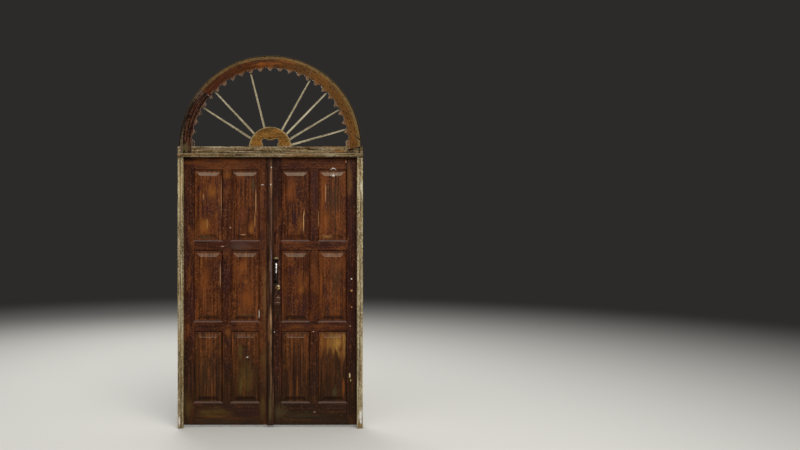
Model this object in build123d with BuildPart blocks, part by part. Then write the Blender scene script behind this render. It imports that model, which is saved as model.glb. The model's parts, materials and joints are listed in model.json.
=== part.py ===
# Arched double door with its frame: two framed leaves of six raised panels each, hung in rebated
# jambs under a transom, and over them a half-round fanlight of scalloped fretwork with a sunburst of
# sticks. The outside of the door faces -Y, the leaves open inwards, towards +Y, and Z is up.
# The origin is on the threshold, midway between the jambs and midway through the jambs' depth.
# All sizes are in millimetres.
import os
from math import atan, atan2, cos, degrees, hypot, radians, sin, sqrt

from build123d import *

LEFT, RIGHT = -1, 1

# Leaves
leaf_width = 722.0
leaf_height = 2215.0
leaf_thickness = 45.0
hinge_stile_width = 100.0
meeting_stile_width = 94.0
muntin_width = 83.0
top_rail_height = 117.0
mid_rail_height = 95.0
bottom_rail_height = 191.0
panel_rows = 3
sticking = 12.0  # chamfer round each panel opening, as deep as it is wide
groove_depth = 12.0
tenon_thickness = 12.0  # the panels' tongues and the grooves follow it
tenon_length = 60.0
stub_length = 26.0  # tenon at each end of a muntin
haunch = 34.0  # wood that a tenon leaves whole at the head and the foot of a leaf
joint_play = 0.3

# Raised panels
panel_play = 3.0  # room at the bottom of the groove for the wood to swell
panel_bevel = 41.0
panel_bevel_rise = 9.0
field_step = 3.0

# Gaps that let the leaves move
meeting_gap = 5.0
hinge_gap = 3.0
head_gap = 4.0
floor_gap = 17.0
stop_gap = 1.0

# Cover strip on the left leaf's meeting edge
strip_width = 54.0
strip_thickness = 16.0
strip_round = 5.0
strip_bead_width = 3.0
strip_bead_depth = 2.5
strip_bead_from_edge = 9.0
strip_play = 0.5
strip_head_gap = 2.0

# Frame
frame_depth = 90.0
jamb_face = 45.0
side_lap = 12.0  # how far a jamb's stop covers the leaf
head_lap = 10.0
quirk_width = 4.0
quirk_depth = 5.0
quirk_from_edge = 23.0
jamb_tenon_width = 14.0
jamb_tenon_depth = 46.0
jamb_tenon_height = 40.0
transom_height = 87.0
transom_ledge = 24.0  # how far the transom stands out behind the jambs
transom_chamfer = 8.0
drip_height = 32.0
drip_projection = 20.0
drip_fall = 7.0
drip_nose = 4.0

# Fanlight
arch_shoulder = 12.0  # the arch stands this far inside the jambs' outer faces
arch_thickness = 50.0
arch_rim = 10.0  # wood of the arch left in front, round the fretwork
fret_thickness = 24.0
fret_band = 88.0
tooth_count = 25
tooth_depth = 27.0
tooth_round = 4.0
scallop_radius = 31.0
tip_slack = 0.01  # how near the tips' circle a tooth's corner has to lie
left_joint_tooth = 19  # teeth are counted from the right, from 0
right_joint_tooth = 8
sprung_joint_gap = 6.0  # the left-hand joint of the boards has sprung open
tight_joint_gap = 0.6
leg_width = 92.0
leg_play = 0.4
broken_leg_stub = 22.0
crack_mouth_width = 13.0
crack_mouth_angle = 3.6
crack_tip_angle = 9.0
crack_tip_from_valley = 24.0
hub_radius = 175.0
hub_sink = 14.0  # the hub's centre lies below the transom's top
hub_eye_radius = 22.0
hub_eye_spacing = 95.0
hub_eye_height = 41.0
hub_slot_width = 120.0
hub_pendant_radius = 60.0
hub_pendant_height = 50.0
stick_thickness = 12.0
stick_hub_width = 18.0
stick_rim_width = 12.0
stick_focus_sink = 34.0  # the sticks point at a place below the transom's top
stick_hub_lap = 10.0
stick_rim_lap = 20.0
stick_angles = (147.1, 133.0, 104.1, 60.7, 45.9, 30.9, 15.9)  # the seven that are left of eleven

# Butt hinges
hinge_height = 110.0
hinge_plate_width = 32.0
hinge_plate_thickness = 2.5
hinge_plate_gap = 0.6
knuckle_radius = 6.5
end_knuckle_length = 33.0
knuckle_gap = 0.4
pin_radius = 3.2
pin_clearance = 0.08
hinge_below_head = 230.0
hinge_above_foot = 270.0

# Pull handle and its long plate, right leaf
plate_width = 52.0
plate_thickness = 4.0
plate_from_edge = 27.5
plate_above_lock = 248.0
plate_below_lock = 154.0
plate_corner = 20.0
plate_arris = 1.5
band_height = 5.0
band_lift = 2.5
band_spacing = 43.0
band_from_foot = 24.0
grip_from_plate_head = 26.0
grip_length = 186.0
grip_reach = 46.0
grip_width = 24.0
grip_depth = 15.0
grip_round = 7.0
grip_shoulder = 30.0
grip_bend = 24.0
grip_off_centre = 7.0
boss_radius = 17.0
boss_height = 6.0

# Rim lock on the right leaf, and its keeper on the left leaf
lock_height = 1154.0
cylinder_from_edge = 58.5
cylinder_radius = 15.0
cylinder_play = 0.5
rosette_radius = 20.5
rosette_thickness = 7.0
rosette_arris = 1.5
plug_radius = 11.0
plug_play = 0.08
keyway_width = 4.0
keyway_height = 15.0
keyway_depth = 5.0
keyway_tilt = 40.0
tail_width = 8.0
tail_thickness = 3.0
tail_length = 10.0
case_width = 84.0
case_height = 120.0
case_depth = 28.0
case_wall = 2.5
case_corner = 5.0
case_from_edge = 3.0
case_above_lock = 40.0
bolt_width = 12.0
bolt_height = 30.0
bolt_length = 62.0
bolt_below_lock = 30.0
bolt_from_leaf = 8.0
bolt_play = 0.3
bolt_nose_inset = 1.0
bolt_nose_chamfer = 3.0
keeper_width = 30.0
keeper_height = 84.0
keeper_depth = 26.0
keeper_wall = 3.0
keeper_from_edge = 3.0

# Surface bolts at the head and the foot of the left leaf
rod_radius = 6.0
rod_length = 300.0
rod_play = 0.3
rod_from_edge = 47.0
rod_from_leaf_end = 5.0
rod_arris = 1.5
knob_radius = 7.0
knob_neck_radius = 4.0
knob_neck = 8.0
knob_length = 12.0
guide_width = 34.0
guide_height = 190.0
guide_thickness = 2.5
guide_corner = 6.0
guide_from_rod_end = 50.0
loop_height = 16.0
loop_wall = 3.0
loop_from_guide_end = 14.0
socket_depth = 32.0
socket_play = 1.5

# Places that follow from the sizes above
frame_front = -frame_depth / 2
frame_back = frame_depth / 2
leaf_back = frame_back
leaf_front = leaf_back - leaf_thickness
stop_back = leaf_front - stop_gap
meeting_edge = meeting_gap / 2
hinge_edge = meeting_edge + leaf_width
jamb_inner = hinge_edge - side_lap
jamb_rebate = hinge_edge + hinge_gap
jamb_outer = jamb_inner + jamb_face
leaf_foot = floor_gap
leaf_head = leaf_foot + leaf_height
jamb_head = leaf_head - head_lap
rebate_head = leaf_head + head_gap
drip_top = jamb_head + drip_height
springing = jamb_head + transom_height

opening_width = (leaf_width - hinge_stile_width - meeting_stile_width - muntin_width) / 2
rails_height = top_rail_height + bottom_rail_height + (panel_rows - 1) * mid_rail_height
opening_height = (leaf_height - rails_height) / panel_rows
row_pitch = opening_height + mid_rail_height
first_opening_foot = leaf_foot + bottom_rail_height
muntin_centre = hinge_stile_width + opening_width + muntin_width / 2
tongue_front = leaf_front + (leaf_thickness - tenon_thickness) / 2
groove_front = tongue_front - joint_play
groove_thickness = tenon_thickness + 2 * joint_play

arch_outer = jamb_outer - arch_shoulder
arch_inner = arch_outer - arch_thickness
fret_outer = arch_outer - arch_rim
fret_valley = fret_outer - fret_band
fret_tip = fret_valley - tooth_depth
fret_back = frame_front + fret_thickness
tooth_pitch = 180.0 / tooth_count
left_joint = (left_joint_tooth + 0.5) * tooth_pitch
right_joint = (right_joint_tooth + 0.5) * tooth_pitch
jamb_tenon_x = (jamb_rebate + jamb_outer) / 2
jamb_tenon_y = (fret_back + frame_back) / 2

pin_x = hinge_edge + hinge_gap / 2
pin_y = leaf_back + knuckle_radius + joint_play
gain_depth = hinge_plate_thickness + (hinge_plate_gap - hinge_gap) / 2
lowest_hinge = leaf_foot + hinge_above_foot
highest_hinge = leaf_head - hinge_below_head
hinge_centres = (lowest_hinge, (lowest_hinge + highest_hinge) / 2, highest_hinge)

lock_x = meeting_edge + cylinder_from_edge
plate_x = meeting_edge + plate_from_edge + plate_width / 2
plate_foot = lock_height - plate_below_lock
plate_head = lock_height + plate_above_lock
plate_front = leaf_front - plate_thickness
rosette_front = plate_front - rosette_thickness
cylinder_back = leaf_back + case_wall
grip_x = plate_x - grip_off_centre
grip_head = plate_head - grip_from_plate_head
grip_foot = grip_head - grip_length
case_side = meeting_edge + case_from_edge
case_head = lock_height + case_above_lock
bolt_z = lock_height - bolt_below_lock
bolt_y = leaf_back + bolt_from_leaf + bolt_width / 2
rod_x = -(meeting_edge + rod_from_edge)
rod_y = leaf_back + guide_thickness + rod_play + rod_radius
head_rod_end = leaf_head - rod_from_leaf_end
foot_rod_end = leaf_foot + rod_from_leaf_end


def facing(y):
    """Upright plane at y that looks out of the door: its x is the door's X, its y is Z."""
    return Plane.XZ.offset(-y)


def leaf_x(side, from_hinge):
    """X of a place on a leaf, measured across the leaf from its hinge edge."""
    return side * (hinge_edge - from_hinge)


def span(x0, x1, y0, y1):
    """Rectangle between two places, in the open sketch."""
    with Locations(((x0 + x1) / 2, (y0 + y1) / 2)):
        Rectangle(abs(x1 - x0), abs(y1 - y0))


def save(piece, name):
    """Labels a finished piece and writes it to its own file."""
    piece.part.label = name
    export_step(piece.part, f"parts/{name}.step")


# Leaf joinery


def opening_centres(side):
    """Centres of a leaf's panel openings, row by row from the foot, hinge side first."""
    offset = (opening_width + muntin_width) / 2
    columns = (muntin_centre - offset, muntin_centre + offset)
    heights = [first_opening_foot + opening_height / 2 + row * row_pitch for row in range(panel_rows)]
    return [(leaf_x(side, column), height) for height in heights for column in columns]


def rail_spans():
    """Name, foot and head of each rail of a leaf, from the bottom rail up."""
    spans = [("bottom_rail", leaf_foot, first_opening_foot)]
    for row in range(1, panel_rows):
        head = first_opening_foot + row * row_pitch
        spans.append((f"mid_rail_{row}", head - mid_rail_height, head))
    spans.append(("top_rail", leaf_head - top_rail_height, leaf_head))
    return spans


def tenon_span(foot, head):
    """Foot and head of a rail's tenon: clear of the panel grooves and of the leaf's ends."""
    low = haunch if foot == leaf_foot else groove_depth + joint_play
    high = haunch if head == leaf_head else groove_depth + joint_play
    return foot + low, head - high


def leaf_board(side, near, far, foot, head):
    """Board of a leaf's full thickness; near and far are measured from the hinge edge."""
    with BuildSketch(facing(leaf_back)) as board:
        span(leaf_x(side, near), leaf_x(side, far), foot, head)
    extrude(board.sketch, amount=leaf_thickness)


def cut_openings(side):
    """Cuts the panel openings, the chamfers round them on both faces, and the panel groove."""
    centres = opening_centres(side)
    for face, way in ((leaf_front, -1), (leaf_back, 1)):
        with BuildSketch(facing(face)) as splay:
            with Locations(*centres):
                Rectangle(opening_width + 2 * sticking, opening_height + 2 * sticking)
        extrude(splay.sketch, amount=way * sticking, taper=45, mode=Mode.SUBTRACT)
    with BuildSketch(facing(leaf_back)) as daylight:
        with Locations(*centres):
            Rectangle(opening_width, opening_height)
    extrude(daylight.sketch, amount=leaf_thickness, mode=Mode.SUBTRACT)
    with BuildSketch(facing(groove_front)) as groove:
        with Locations(*centres):
            Rectangle(opening_width + 2 * groove_depth, opening_height + 2 * groove_depth)
    extrude(groove.sketch, amount=-groove_thickness, mode=Mode.SUBTRACT)


def cut_hinge_gains(side, edge, way):
    """Cuts the shallow seats of the hinge plates into the wood beside an edge."""
    half = hinge_height / 2 + joint_play
    with BuildSketch(facing(leaf_back)) as gains:
        for centre in hinge_centres:
            span(side * edge, side * (edge + way * gain_depth), centre - half, centre + half)
    extrude(gains.sketch, amount=hinge_plate_width + joint_play, mode=Mode.SUBTRACT)


def stile_wood(side, near, far, inner, into):
    """Upright of a leaf: the panel groove, and mortises for the rails cut in from its inner edge."""
    leaf_board(side, near, far, leaf_foot, leaf_head)
    cut_openings(side)
    with BuildSketch(facing(groove_front)) as mortises:
        for _, foot, head in rail_spans():
            low, high = tenon_span(foot, head)
            end = inner + into * (tenon_length + joint_play)
            span(leaf_x(side, inner), leaf_x(side, end), low - joint_play, high + joint_play)
    extrude(mortises.sketch, amount=-groove_thickness, mode=Mode.SUBTRACT)


def hinge_stile(side):
    """Stile that hangs on the hinges, with a shallow seat for each hinge plate."""
    with BuildPart() as piece:
        stile_wood(side, 0, hinge_stile_width, hinge_stile_width, -1)
        cut_hinge_gains(side, hinge_edge, -1)
    return piece


def meeting_stile(side):
    """Stile at the middle of the doorway; the right one is bored for the lock cylinder."""
    near = leaf_width - meeting_stile_width
    with BuildPart() as piece:
        stile_wood(side, near, leaf_width, near, 1)
        if side == RIGHT:
            with BuildSketch(facing(leaf_back)) as bore:
                with Locations((lock_x, lock_height)):
                    Circle(cylinder_radius + cylinder_play)
            extrude(bore.sketch, amount=leaf_thickness, mode=Mode.SUBTRACT)
    return piece


def rail(side, foot, head):
    """Level member between the stiles: a tenon at each end, and mortises for the muntins."""
    near, far = hinge_stile_width, leaf_width - meeting_stile_width
    low, high = tenon_span(foot, head)
    half_mortise = muntin_width / 2 - groove_depth
    x0, x1 = (leaf_x(side, muntin_centre + way * half_mortise) for way in (-1, 1))
    deep = stub_length + joint_play
    with BuildPart() as piece:
        leaf_board(side, near, far, foot, head)
        cut_openings(side)
        with BuildSketch(facing(tongue_front)):
            span(leaf_x(side, near - tenon_length), leaf_x(side, far + tenon_length), low, high)
        extrude(amount=-tenon_thickness)
        with BuildSketch(facing(groove_front)) as mortises:
            if foot != leaf_foot:
                span(x0, x1, foot, foot + deep)
            if head != leaf_head:
                span(x0, x1, head - deep, head)
        extrude(mortises.sketch, amount=-groove_thickness, mode=Mode.SUBTRACT)
    return piece


def muntin(side, row):
    """Short upright between two panels, with a stub tenon at each end."""
    foot = first_opening_foot + row * row_pitch
    head = foot + opening_height
    half_tenon = muntin_width / 2 - groove_depth - joint_play
    x0, x1 = (leaf_x(side, muntin_centre + way * half_tenon) for way in (-1, 1))
    with BuildPart() as piece:
        leaf_board(side, muntin_centre - muntin_width / 2, muntin_centre + muntin_width / 2, foot, head)
        cut_openings(side)
        with BuildSketch(facing(tongue_front)):
            span(x0, x1, foot - stub_length, head + stub_length)
        extrude(amount=-tenon_thickness)
    return piece


def raised_panel(centre):
    """Panel with a tongue all round, a wide bevel, and a field that stands a step above it."""
    tongue = groove_depth - panel_play
    bevel_slope = degrees(atan((panel_bevel - joint_play) / panel_bevel_rise))
    with BuildPart() as piece:
        with BuildSketch(facing(tongue_front + tenon_thickness)):
            with Locations(centre):
                Rectangle(opening_width + 2 * tongue, opening_height + 2 * tongue)
        extrude(amount=tenon_thickness)
        with BuildSketch(facing(tongue_front)) as bed:
            with Locations(centre):
                Rectangle(opening_width - 2 * joint_play, opening_height - 2 * joint_play)
        extrude(bed.sketch, amount=panel_bevel_rise, taper=bevel_slope)
        with BuildSketch(facing(tongue_front - panel_bevel_rise)):
            with Locations(centre):
                Rectangle(opening_width - 2 * panel_bevel, opening_height - 2 * panel_bevel)
        extrude(amount=field_step)
    return piece


def cover_strip():
    """Moulded strip on the left leaf that covers the gap between the leaves."""
    half = strip_width / 2
    front = leaf_front - strip_thickness
    bead = half - strip_bead_from_edge
    with BuildPart() as piece:
        with BuildSketch(Plane.XY.offset(leaf_foot)):
            span(-half, half, front, leaf_front)
            with Locations((-bead, front), (bead, front)):
                Rectangle(strip_bead_width, 2 * strip_bead_depth, mode=Mode.SUBTRACT)
            with Locations(((half - meeting_edge) / 2, leaf_front)):
                Rectangle(half + meeting_edge, 2 * strip_play, mode=Mode.SUBTRACT)
        extrude(amount=jamb_head - strip_head_gap - leaf_foot)
        arrises = piece.edges().filter_by(Axis.Z).group_by(Axis.Y)[0].sort_by(Axis.X)
        fillet((arrises[0], arrises[-1]), strip_round)
    return piece


# Frame


def jamb(side):
    """Post with a rebate for the leaf, a quirk down its face, hinge gains and a tenon on its head."""
    outline = (
        (jamb_inner, frame_front),
        (jamb_outer, frame_front),
        (jamb_outer, frame_back),
        (jamb_rebate, frame_back),
        (jamb_rebate, stop_back),
        (jamb_inner, stop_back),
    )
    with BuildPart() as piece:
        with BuildSketch(Plane.XY):
            with BuildLine():
                Polyline(*[(side * x, y) for x, y in outline], close=True)
            make_face()
            with Locations((side * (jamb_inner + quirk_from_edge), frame_front)):
                Rectangle(quirk_width, 2 * quirk_depth, mode=Mode.SUBTRACT)
        extrude(amount=jamb_head)
        with BuildSketch(Plane.XY.offset(jamb_head)):
            with Locations((side * jamb_tenon_x, jamb_tenon_y)):
                Rectangle(jamb_tenon_width, jamb_tenon_depth)
        extrude(amount=jamb_tenon_height)
        cut_hinge_gains(side, jamb_rebate, 1)
    return piece


def transom():
    """Crossbar with a drip along its foot, a rebate for the leaves and a socket for the head bolt."""
    ledge_back = frame_back + transom_ledge
    drip_front = frame_front - drip_projection
    with BuildPart() as piece:
        with BuildSketch(Plane.YZ.offset(-jamb_outer)) as section:
            with BuildLine():
                Polyline(
                    (frame_back, jamb_head),
                    (frame_back, rebate_head),
                    (ledge_back, rebate_head),
                    (ledge_back, springing - transom_chamfer),
                    (ledge_back - transom_chamfer, springing),
                    (frame_front, springing),
                    (frame_front, drip_top),
                    (drip_front, drip_top - drip_fall),
                    (drip_front, jamb_head),
                    close=True,
                )
            make_face()
            fillet(section.vertices().group_by(Axis.X)[0], drip_nose)
            with Locations((frame_front, drip_top + quirk_width / 2)):
                Rectangle(2 * quirk_depth, quirk_width, mode=Mode.SUBTRACT)
        extrude(amount=2 * jamb_outer)
        with BuildSketch(facing(frame_back)) as rebate:
            span(-jamb_rebate, jamb_rebate, jamb_head, rebate_head)
        extrude(rebate.sketch, amount=frame_back - stop_back, mode=Mode.SUBTRACT)
        with BuildSketch(facing(fret_back + leg_play)) as leg_seats:
            inner, outer = fret_outer - leg_width - leg_play, fret_outer + leg_play
            for side in (LEFT, RIGHT):
                span(side * inner, side * outer, drip_top, springing)
        extrude(leg_seats.sketch, amount=fret_thickness + leg_play, mode=Mode.SUBTRACT)
        with BuildSketch(Plane.XY.offset(jamb_head)) as mortises:
            with Locations((-jamb_tenon_x, jamb_tenon_y), (jamb_tenon_x, jamb_tenon_y)):
                Rectangle(jamb_tenon_width + 2 * joint_play, jamb_tenon_depth + 2 * joint_play)
        extrude(mortises.sketch, amount=jamb_tenon_height + joint_play, mode=Mode.SUBTRACT)
        with BuildSketch(Plane.XY.offset(rebate_head)) as socket:
            with Locations((rod_x, rod_y)):
                Circle(rod_radius + socket_play)
        extrude(socket.sketch, amount=socket_depth, mode=Mode.SUBTRACT)
    return piece


def arch_point(radius, angle):
    """Place in the fanlight, at a radius and an angle about the middle of the springing line."""
    return radius * cos(radians(angle)), springing + radius * sin(radians(angle))


def ring_sector(inner, outer, start, end):
    """Sector of a ring about the middle of the springing line, in the open sketch."""
    with BuildLine() as outline:
        CenterArc((0, springing), outer, start, end - start)
        CenterArc((0, springing), inner, start, end - start)
        Line(arch_point(inner, start), arch_point(outer, start))
        Line(arch_point(inner, end), arch_point(outer, end))
    make_face(outline.edges())


def arch_half(start, end):
    """Half of the frame's bent head, rebated in front for the fretwork."""
    with BuildPart() as piece:
        with BuildSketch(facing(frame_back)):
            ring_sector(arch_inner, arch_outer, start, end)
        extrude(amount=frame_back - fret_back)
        with BuildSketch(facing(fret_back)):
            ring_sector(fret_outer + joint_play, arch_outer, start, end)
        extrude(amount=fret_thickness)
    return piece


# Fretwork and sunburst


def is_tooth_tip(vertex):
    """True for a vertex of a board's sketch that lies on the circle of the teeth's tips."""
    return abs(hypot(vertex.X, vertex.Y - springing) - fret_tip) < tip_slack


def polar_angle(vertex):
    """Angle in degrees of a sketch's vertex about the middle of the springing line."""
    return degrees(atan2(vertex.Y - springing, vertex.X))


def fretwork_wood(start, end):
    """Board of the fretwork: a ring's sector, its inner edge scalloped into teeth worn round."""
    angles = [k * tooth_pitch for k in range(1, tooth_count)]
    notches = [arch_point(fret_valley - scallop_radius, angle) for angle in angles if start < angle < end]
    margin = degrees(tooth_round / fret_tip)
    with BuildSketch(facing(fret_back)) as board:
        ring_sector(fret_tip, fret_outer, start, end)
        with Locations(*notches):
            Circle(scallop_radius, mode=Mode.SUBTRACT)
        tips = board.vertices().filter_by(is_tooth_tip)
        fillet([tip for tip in tips if start + margin < polar_angle(tip) < end - margin], tooth_round)
    extrude(board.sketch, amount=fret_thickness)


def left_fretwork():
    """Left board, whose leg is let into the transom; its upper joint has sprung open."""
    with BuildPart() as piece:
        fretwork_wood(left_joint + degrees(sprung_joint_gap / fret_outer), 180)
        with BuildSketch(facing(fret_back)):
            span(-fret_outer, leg_width - fret_outer, drip_top, springing)
        extrude(amount=fret_thickness)
    return piece


def crown_fretwork():
    """Middle board of the fretwork."""
    with BuildPart() as piece:
        fretwork_wood(right_joint + degrees(tight_joint_gap / fret_outer), left_joint)
    return piece


def right_fretwork():
    """Right board, cracked in from its rim; of its leg only a stub is left, broken at a slant."""
    half_mouth = degrees(crack_mouth_width / 2 / fret_outer)
    with BuildPart() as piece:
        fretwork_wood(0, right_joint)
        with BuildSketch(facing(fret_back)):
            with BuildLine():
                Polyline(
                    (fret_outer - leg_width, springing),
                    (fret_outer - leg_width, springing - broken_leg_stub),
                    (fret_outer, springing),
                    close=True,
                )
            make_face()
        extrude(amount=fret_thickness)
        with BuildSketch(facing(fret_back)) as crack:
            with BuildLine():
                Polyline(
                    arch_point(arch_outer, crack_mouth_angle - half_mouth),
                    arch_point(arch_outer, crack_mouth_angle + half_mouth),
                    arch_point(fret_valley + crack_tip_from_valley, crack_tip_angle),
                    close=True,
                )
            make_face()
        extrude(crack.sketch, amount=fret_thickness, mode=Mode.SUBTRACT)
    return piece


def sunburst_hub():
    """Half-round board that the sticks spring from, with an eye of two lobes cut at its foot."""
    half = hub_eye_spacing / 2
    lobes_height = springing + hub_eye_height
    with BuildPart() as piece:
        with BuildSketch(facing(fret_back)):
            with Locations((0, springing - hub_sink)):
                Circle(hub_radius)
            with Locations((0, springing - hub_radius)):
                Rectangle(2 * hub_radius, 2 * hub_radius, mode=Mode.SUBTRACT)
        extrude(amount=fret_thickness)
        with BuildSketch(facing(fret_back)) as eye:
            with Locations((-half, lobes_height), (half, lobes_height)):
                Circle(hub_eye_radius)
            span(-hub_slot_width / 2, hub_slot_width / 2, springing, lobes_height)
            span(-half, half, springing, lobes_height + hub_eye_radius)
            with Locations((0, springing + hub_pendant_height + hub_pendant_radius)):
                Circle(hub_pendant_radius, mode=Mode.SUBTRACT)
        extrude(eye.sketch, amount=fret_thickness, mode=Mode.SUBTRACT)
    return piece


def stick(angle):
    """Tapered stick of the sunburst, nailed behind the hub and behind the fretwork."""
    reach = fret_valley + stick_rim_lap
    sink = stick_focus_sink
    start = hub_radius - stick_hub_lap
    along, rise = cos(radians(angle)), sin(radians(angle))
    end = sink * rise + sqrt(reach**2 - (sink * along) ** 2)
    with BuildPart() as piece:
        with BuildSketch(facing(fret_back + stick_thickness)):
            with BuildLine(Plane(origin=(0, springing - sink), x_dir=(along, rise, 0))):
                Polyline(
                    (start, -stick_hub_width / 2),
                    (end, -stick_rim_width / 2),
                    (end, stick_rim_width / 2),
                    (start, stick_hub_width / 2),
                    close=True,
                )
            make_face()
        extrude(amount=stick_thickness)
    return piece


# Hinges


def hinge_metal(side, way):
    """Plates and knuckles of the hinges on one post: way is -1 on the leaf, 1 on the frame."""
    on_frame = way == 1
    half = hinge_height / 2
    plate_centre = side * (pin_x + way * (hinge_plate_gap + hinge_plate_thickness) / 2)
    plate_edges = (plate_centre - hinge_plate_thickness / 2, plate_centre + hinge_plate_thickness / 2)
    inner = half - end_knuckle_length - knuckle_gap
    frame_knuckles = ((-half, end_knuckle_length - half), (half - end_knuckle_length, half))
    for centre in hinge_centres:
        with BuildSketch(Plane.XY.offset(centre - half)) as plate:
            span(*plate_edges, leaf_back - hinge_plate_width, leaf_back)
        extrude(plate.sketch, amount=hinge_height)
        for low, high in frame_knuckles if on_frame else ((-inner, inner),):
            with BuildSketch(Plane.XY.offset(centre + low)) as knuckle:
                span(*plate_edges, leaf_back, pin_y)
                with Locations((side * pin_x, pin_y)):
                    Circle(knuckle_radius)
                    if not on_frame:
                        Circle(pin_radius + pin_clearance, mode=Mode.SUBTRACT)
            extrude(knuckle.sketch, amount=high - low)
        if on_frame:
            with BuildSketch(Plane.XY.offset(centre - half)) as pin:
                with Locations((side * pin_x, pin_y)):
                    Circle(pin_radius)
            extrude(pin.sketch, amount=hinge_height)


def leaf_hinges(side):
    """The leaf's halves of its three hinges."""
    with BuildPart() as piece:
        hinge_metal(side, -1)
    return piece


def frame_hinges():
    """The frame's halves of all six hinges, each with its riveted pin."""
    with BuildPart() as piece:
        for side in (LEFT, RIGHT):
            hinge_metal(side, 1)
    return piece


# Handle and lock


def handle_plate():
    """Long plate with rounded ends, two raised bands near its foot and a hole for the lock."""
    half_band = plate_width / 2 - plate_arris
    lower_band = plate_foot + band_from_foot
    with BuildPart() as piece:
        with BuildSketch(facing(leaf_front)):
            with Locations((plate_x, (plate_foot + plate_head) / 2)):
                RectangleRounded(plate_width, plate_head - plate_foot, plate_corner)
        extrude(amount=plate_thickness)
        chamfer(piece.faces().sort_by(Axis.Y)[0].edges(), plate_arris)
        with BuildSketch(facing(plate_front)):
            for foot in (lower_band, lower_band + band_spacing):
                span(plate_x - half_band, plate_x + half_band, foot, foot + band_height)
        extrude(amount=band_lift)
        with BuildSketch(facing(leaf_front)) as hole:
            with Locations((lock_x, lock_height)):
                Circle(cylinder_radius + cylinder_play)
        extrude(hole.sketch, amount=plate_thickness, mode=Mode.SUBTRACT)
    return piece


def handle_grip():
    """Bow of flat rounded section that stands out from the plate on two round bosses."""
    with BuildPart() as piece:
        with BuildSketch(facing(plate_front)):
            with Locations((grip_x, grip_foot), (grip_x, grip_head)):
                Circle(boss_radius)
        extrude(amount=boss_height)
        with BuildLine(Plane.YZ.offset(grip_x)) as bow:
            FilletPolyline(
                (plate_front, grip_head),
                (plate_front - grip_reach, grip_head - grip_shoulder),
                (plate_front - grip_reach, grip_foot + grip_shoulder),
                (plate_front, grip_foot),
                radius=grip_bend,
            )
        with BuildSketch(Plane(bow.line @ 0, x_dir=(1, 0, 0), z_dir=bow.line % 0)):
            RectangleRounded(grip_width, grip_depth, grip_round)
        sweep(path=bow.line)
        split(bisect_by=facing(plate_front), keep=Keep.TOP)
    return piece


def lock_cylinder():
    """Cylinder body with a rosette in front, let through the plate and the stile into the lock."""
    with BuildPart() as piece:
        with BuildSketch(facing(cylinder_back)):
            with Locations((lock_x, lock_height)):
                Circle(cylinder_radius)
        extrude(amount=cylinder_back - plate_front)
        with BuildSketch(facing(plate_front)):
            with Locations((lock_x, lock_height)):
                Circle(rosette_radius)
        extrude(amount=rosette_thickness)
        chamfer(piece.faces().sort_by(Axis.Y)[0].edges(), rosette_arris)
        with BuildSketch(facing(cylinder_back)) as bore:
            with Locations((lock_x, lock_height)):
                Circle(plug_radius + plug_play)
        extrude(bore.sketch, amount=cylinder_back - rosette_front, mode=Mode.SUBTRACT)
    return piece


def cylinder_plug():
    """Plug that the key turns, with a slanting keyway in front and a flat tail behind."""
    with BuildPart() as piece:
        with BuildSketch(facing(cylinder_back)):
            with Locations((lock_x, lock_height)):
                Circle(plug_radius)
        extrude(amount=cylinder_back - rosette_front)
        with BuildSketch(facing(rosette_front)) as keyway:
            with Locations((lock_x, lock_height)):
                Rectangle(keyway_width, keyway_height, rotation=keyway_tilt)
        extrude(keyway.sketch, amount=-keyway_depth, mode=Mode.SUBTRACT)
        with BuildSketch(facing(cylinder_back)):
            with Locations((lock_x, lock_height)):
                Rectangle(tail_width, tail_thickness)
        extrude(amount=-tail_length)
    return piece


def lock_case():
    """Pressed cover of the rim lock, open towards the leaf, with a slot for the bolt in its side."""
    with BuildPart() as piece:
        with BuildSketch(facing(leaf_back + case_depth)):
            span(case_side, case_side + case_width, case_head - case_height, case_head)
        extrude(amount=case_depth)
        fillet(piece.edges().filter_by(Axis.Y), case_corner)
        offset(amount=-case_wall, openings=piece.faces().sort_by(Axis.Y)[0])
        with BuildSketch(Plane.YZ.offset(case_side)) as slot:
            with Locations((bolt_y, bolt_z)):
                Rectangle(bolt_width + 2 * bolt_play, bolt_height + 2 * bolt_play)
        extrude(slot.sketch, amount=case_wall, mode=Mode.SUBTRACT)
    return piece


def deadbolt():
    """Bolt of the rim lock, drawn back flush with the side of its case."""
    with BuildPart() as piece:
        with BuildSketch(Plane.YZ.offset(case_side + bolt_nose_inset)):
            with Locations((bolt_y, bolt_z)):
                Rectangle(bolt_width, bolt_height)
        extrude(amount=bolt_length)
        chamfer(piece.faces().sort_by(Axis.X)[0].edges().filter_by(Axis.Z), bolt_nose_chamfer)
    return piece


def lock_keeper():
    """Box on the left leaf that takes the bolt, open towards the lock."""
    mouth = -(meeting_edge + keeper_from_edge)
    with BuildPart() as piece:
        with BuildSketch(facing(leaf_back + keeper_depth)):
            span(mouth - keeper_width, mouth, bolt_z - keeper_height / 2, bolt_z + keeper_height / 2)
        extrude(amount=keeper_depth)
        offset(amount=-keeper_wall, openings=piece.faces().sort_by(Axis.X)[-1])
    return piece


# Surface bolts


def surface_bolt(end, way):
    """Rod with a turned knob; way is 1 where its working end points up, -1 where it points down."""
    knob_z = end - way * (guide_from_rod_end + guide_height / 2)
    neck_back = rod_y + rod_radius + knob_neck
    with BuildPart() as piece:
        with BuildSketch(Plane.XY.offset(end)):
            with Locations((rod_x, rod_y)):
                Circle(rod_radius)
        extrude(amount=-way * rod_length)
        chamfer(piece.edges().filter_by(GeomType.CIRCLE), rod_arris)
        with BuildSketch(facing(rod_y)):
            with Locations((rod_x, knob_z)):
                Circle(knob_neck_radius)
        extrude(amount=rod_y - neck_back)
        with BuildSketch(facing(neck_back)):
            with Locations((rod_x, knob_z)):
                Circle(knob_radius)
        extrude(amount=-knob_length)
    return piece


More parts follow.
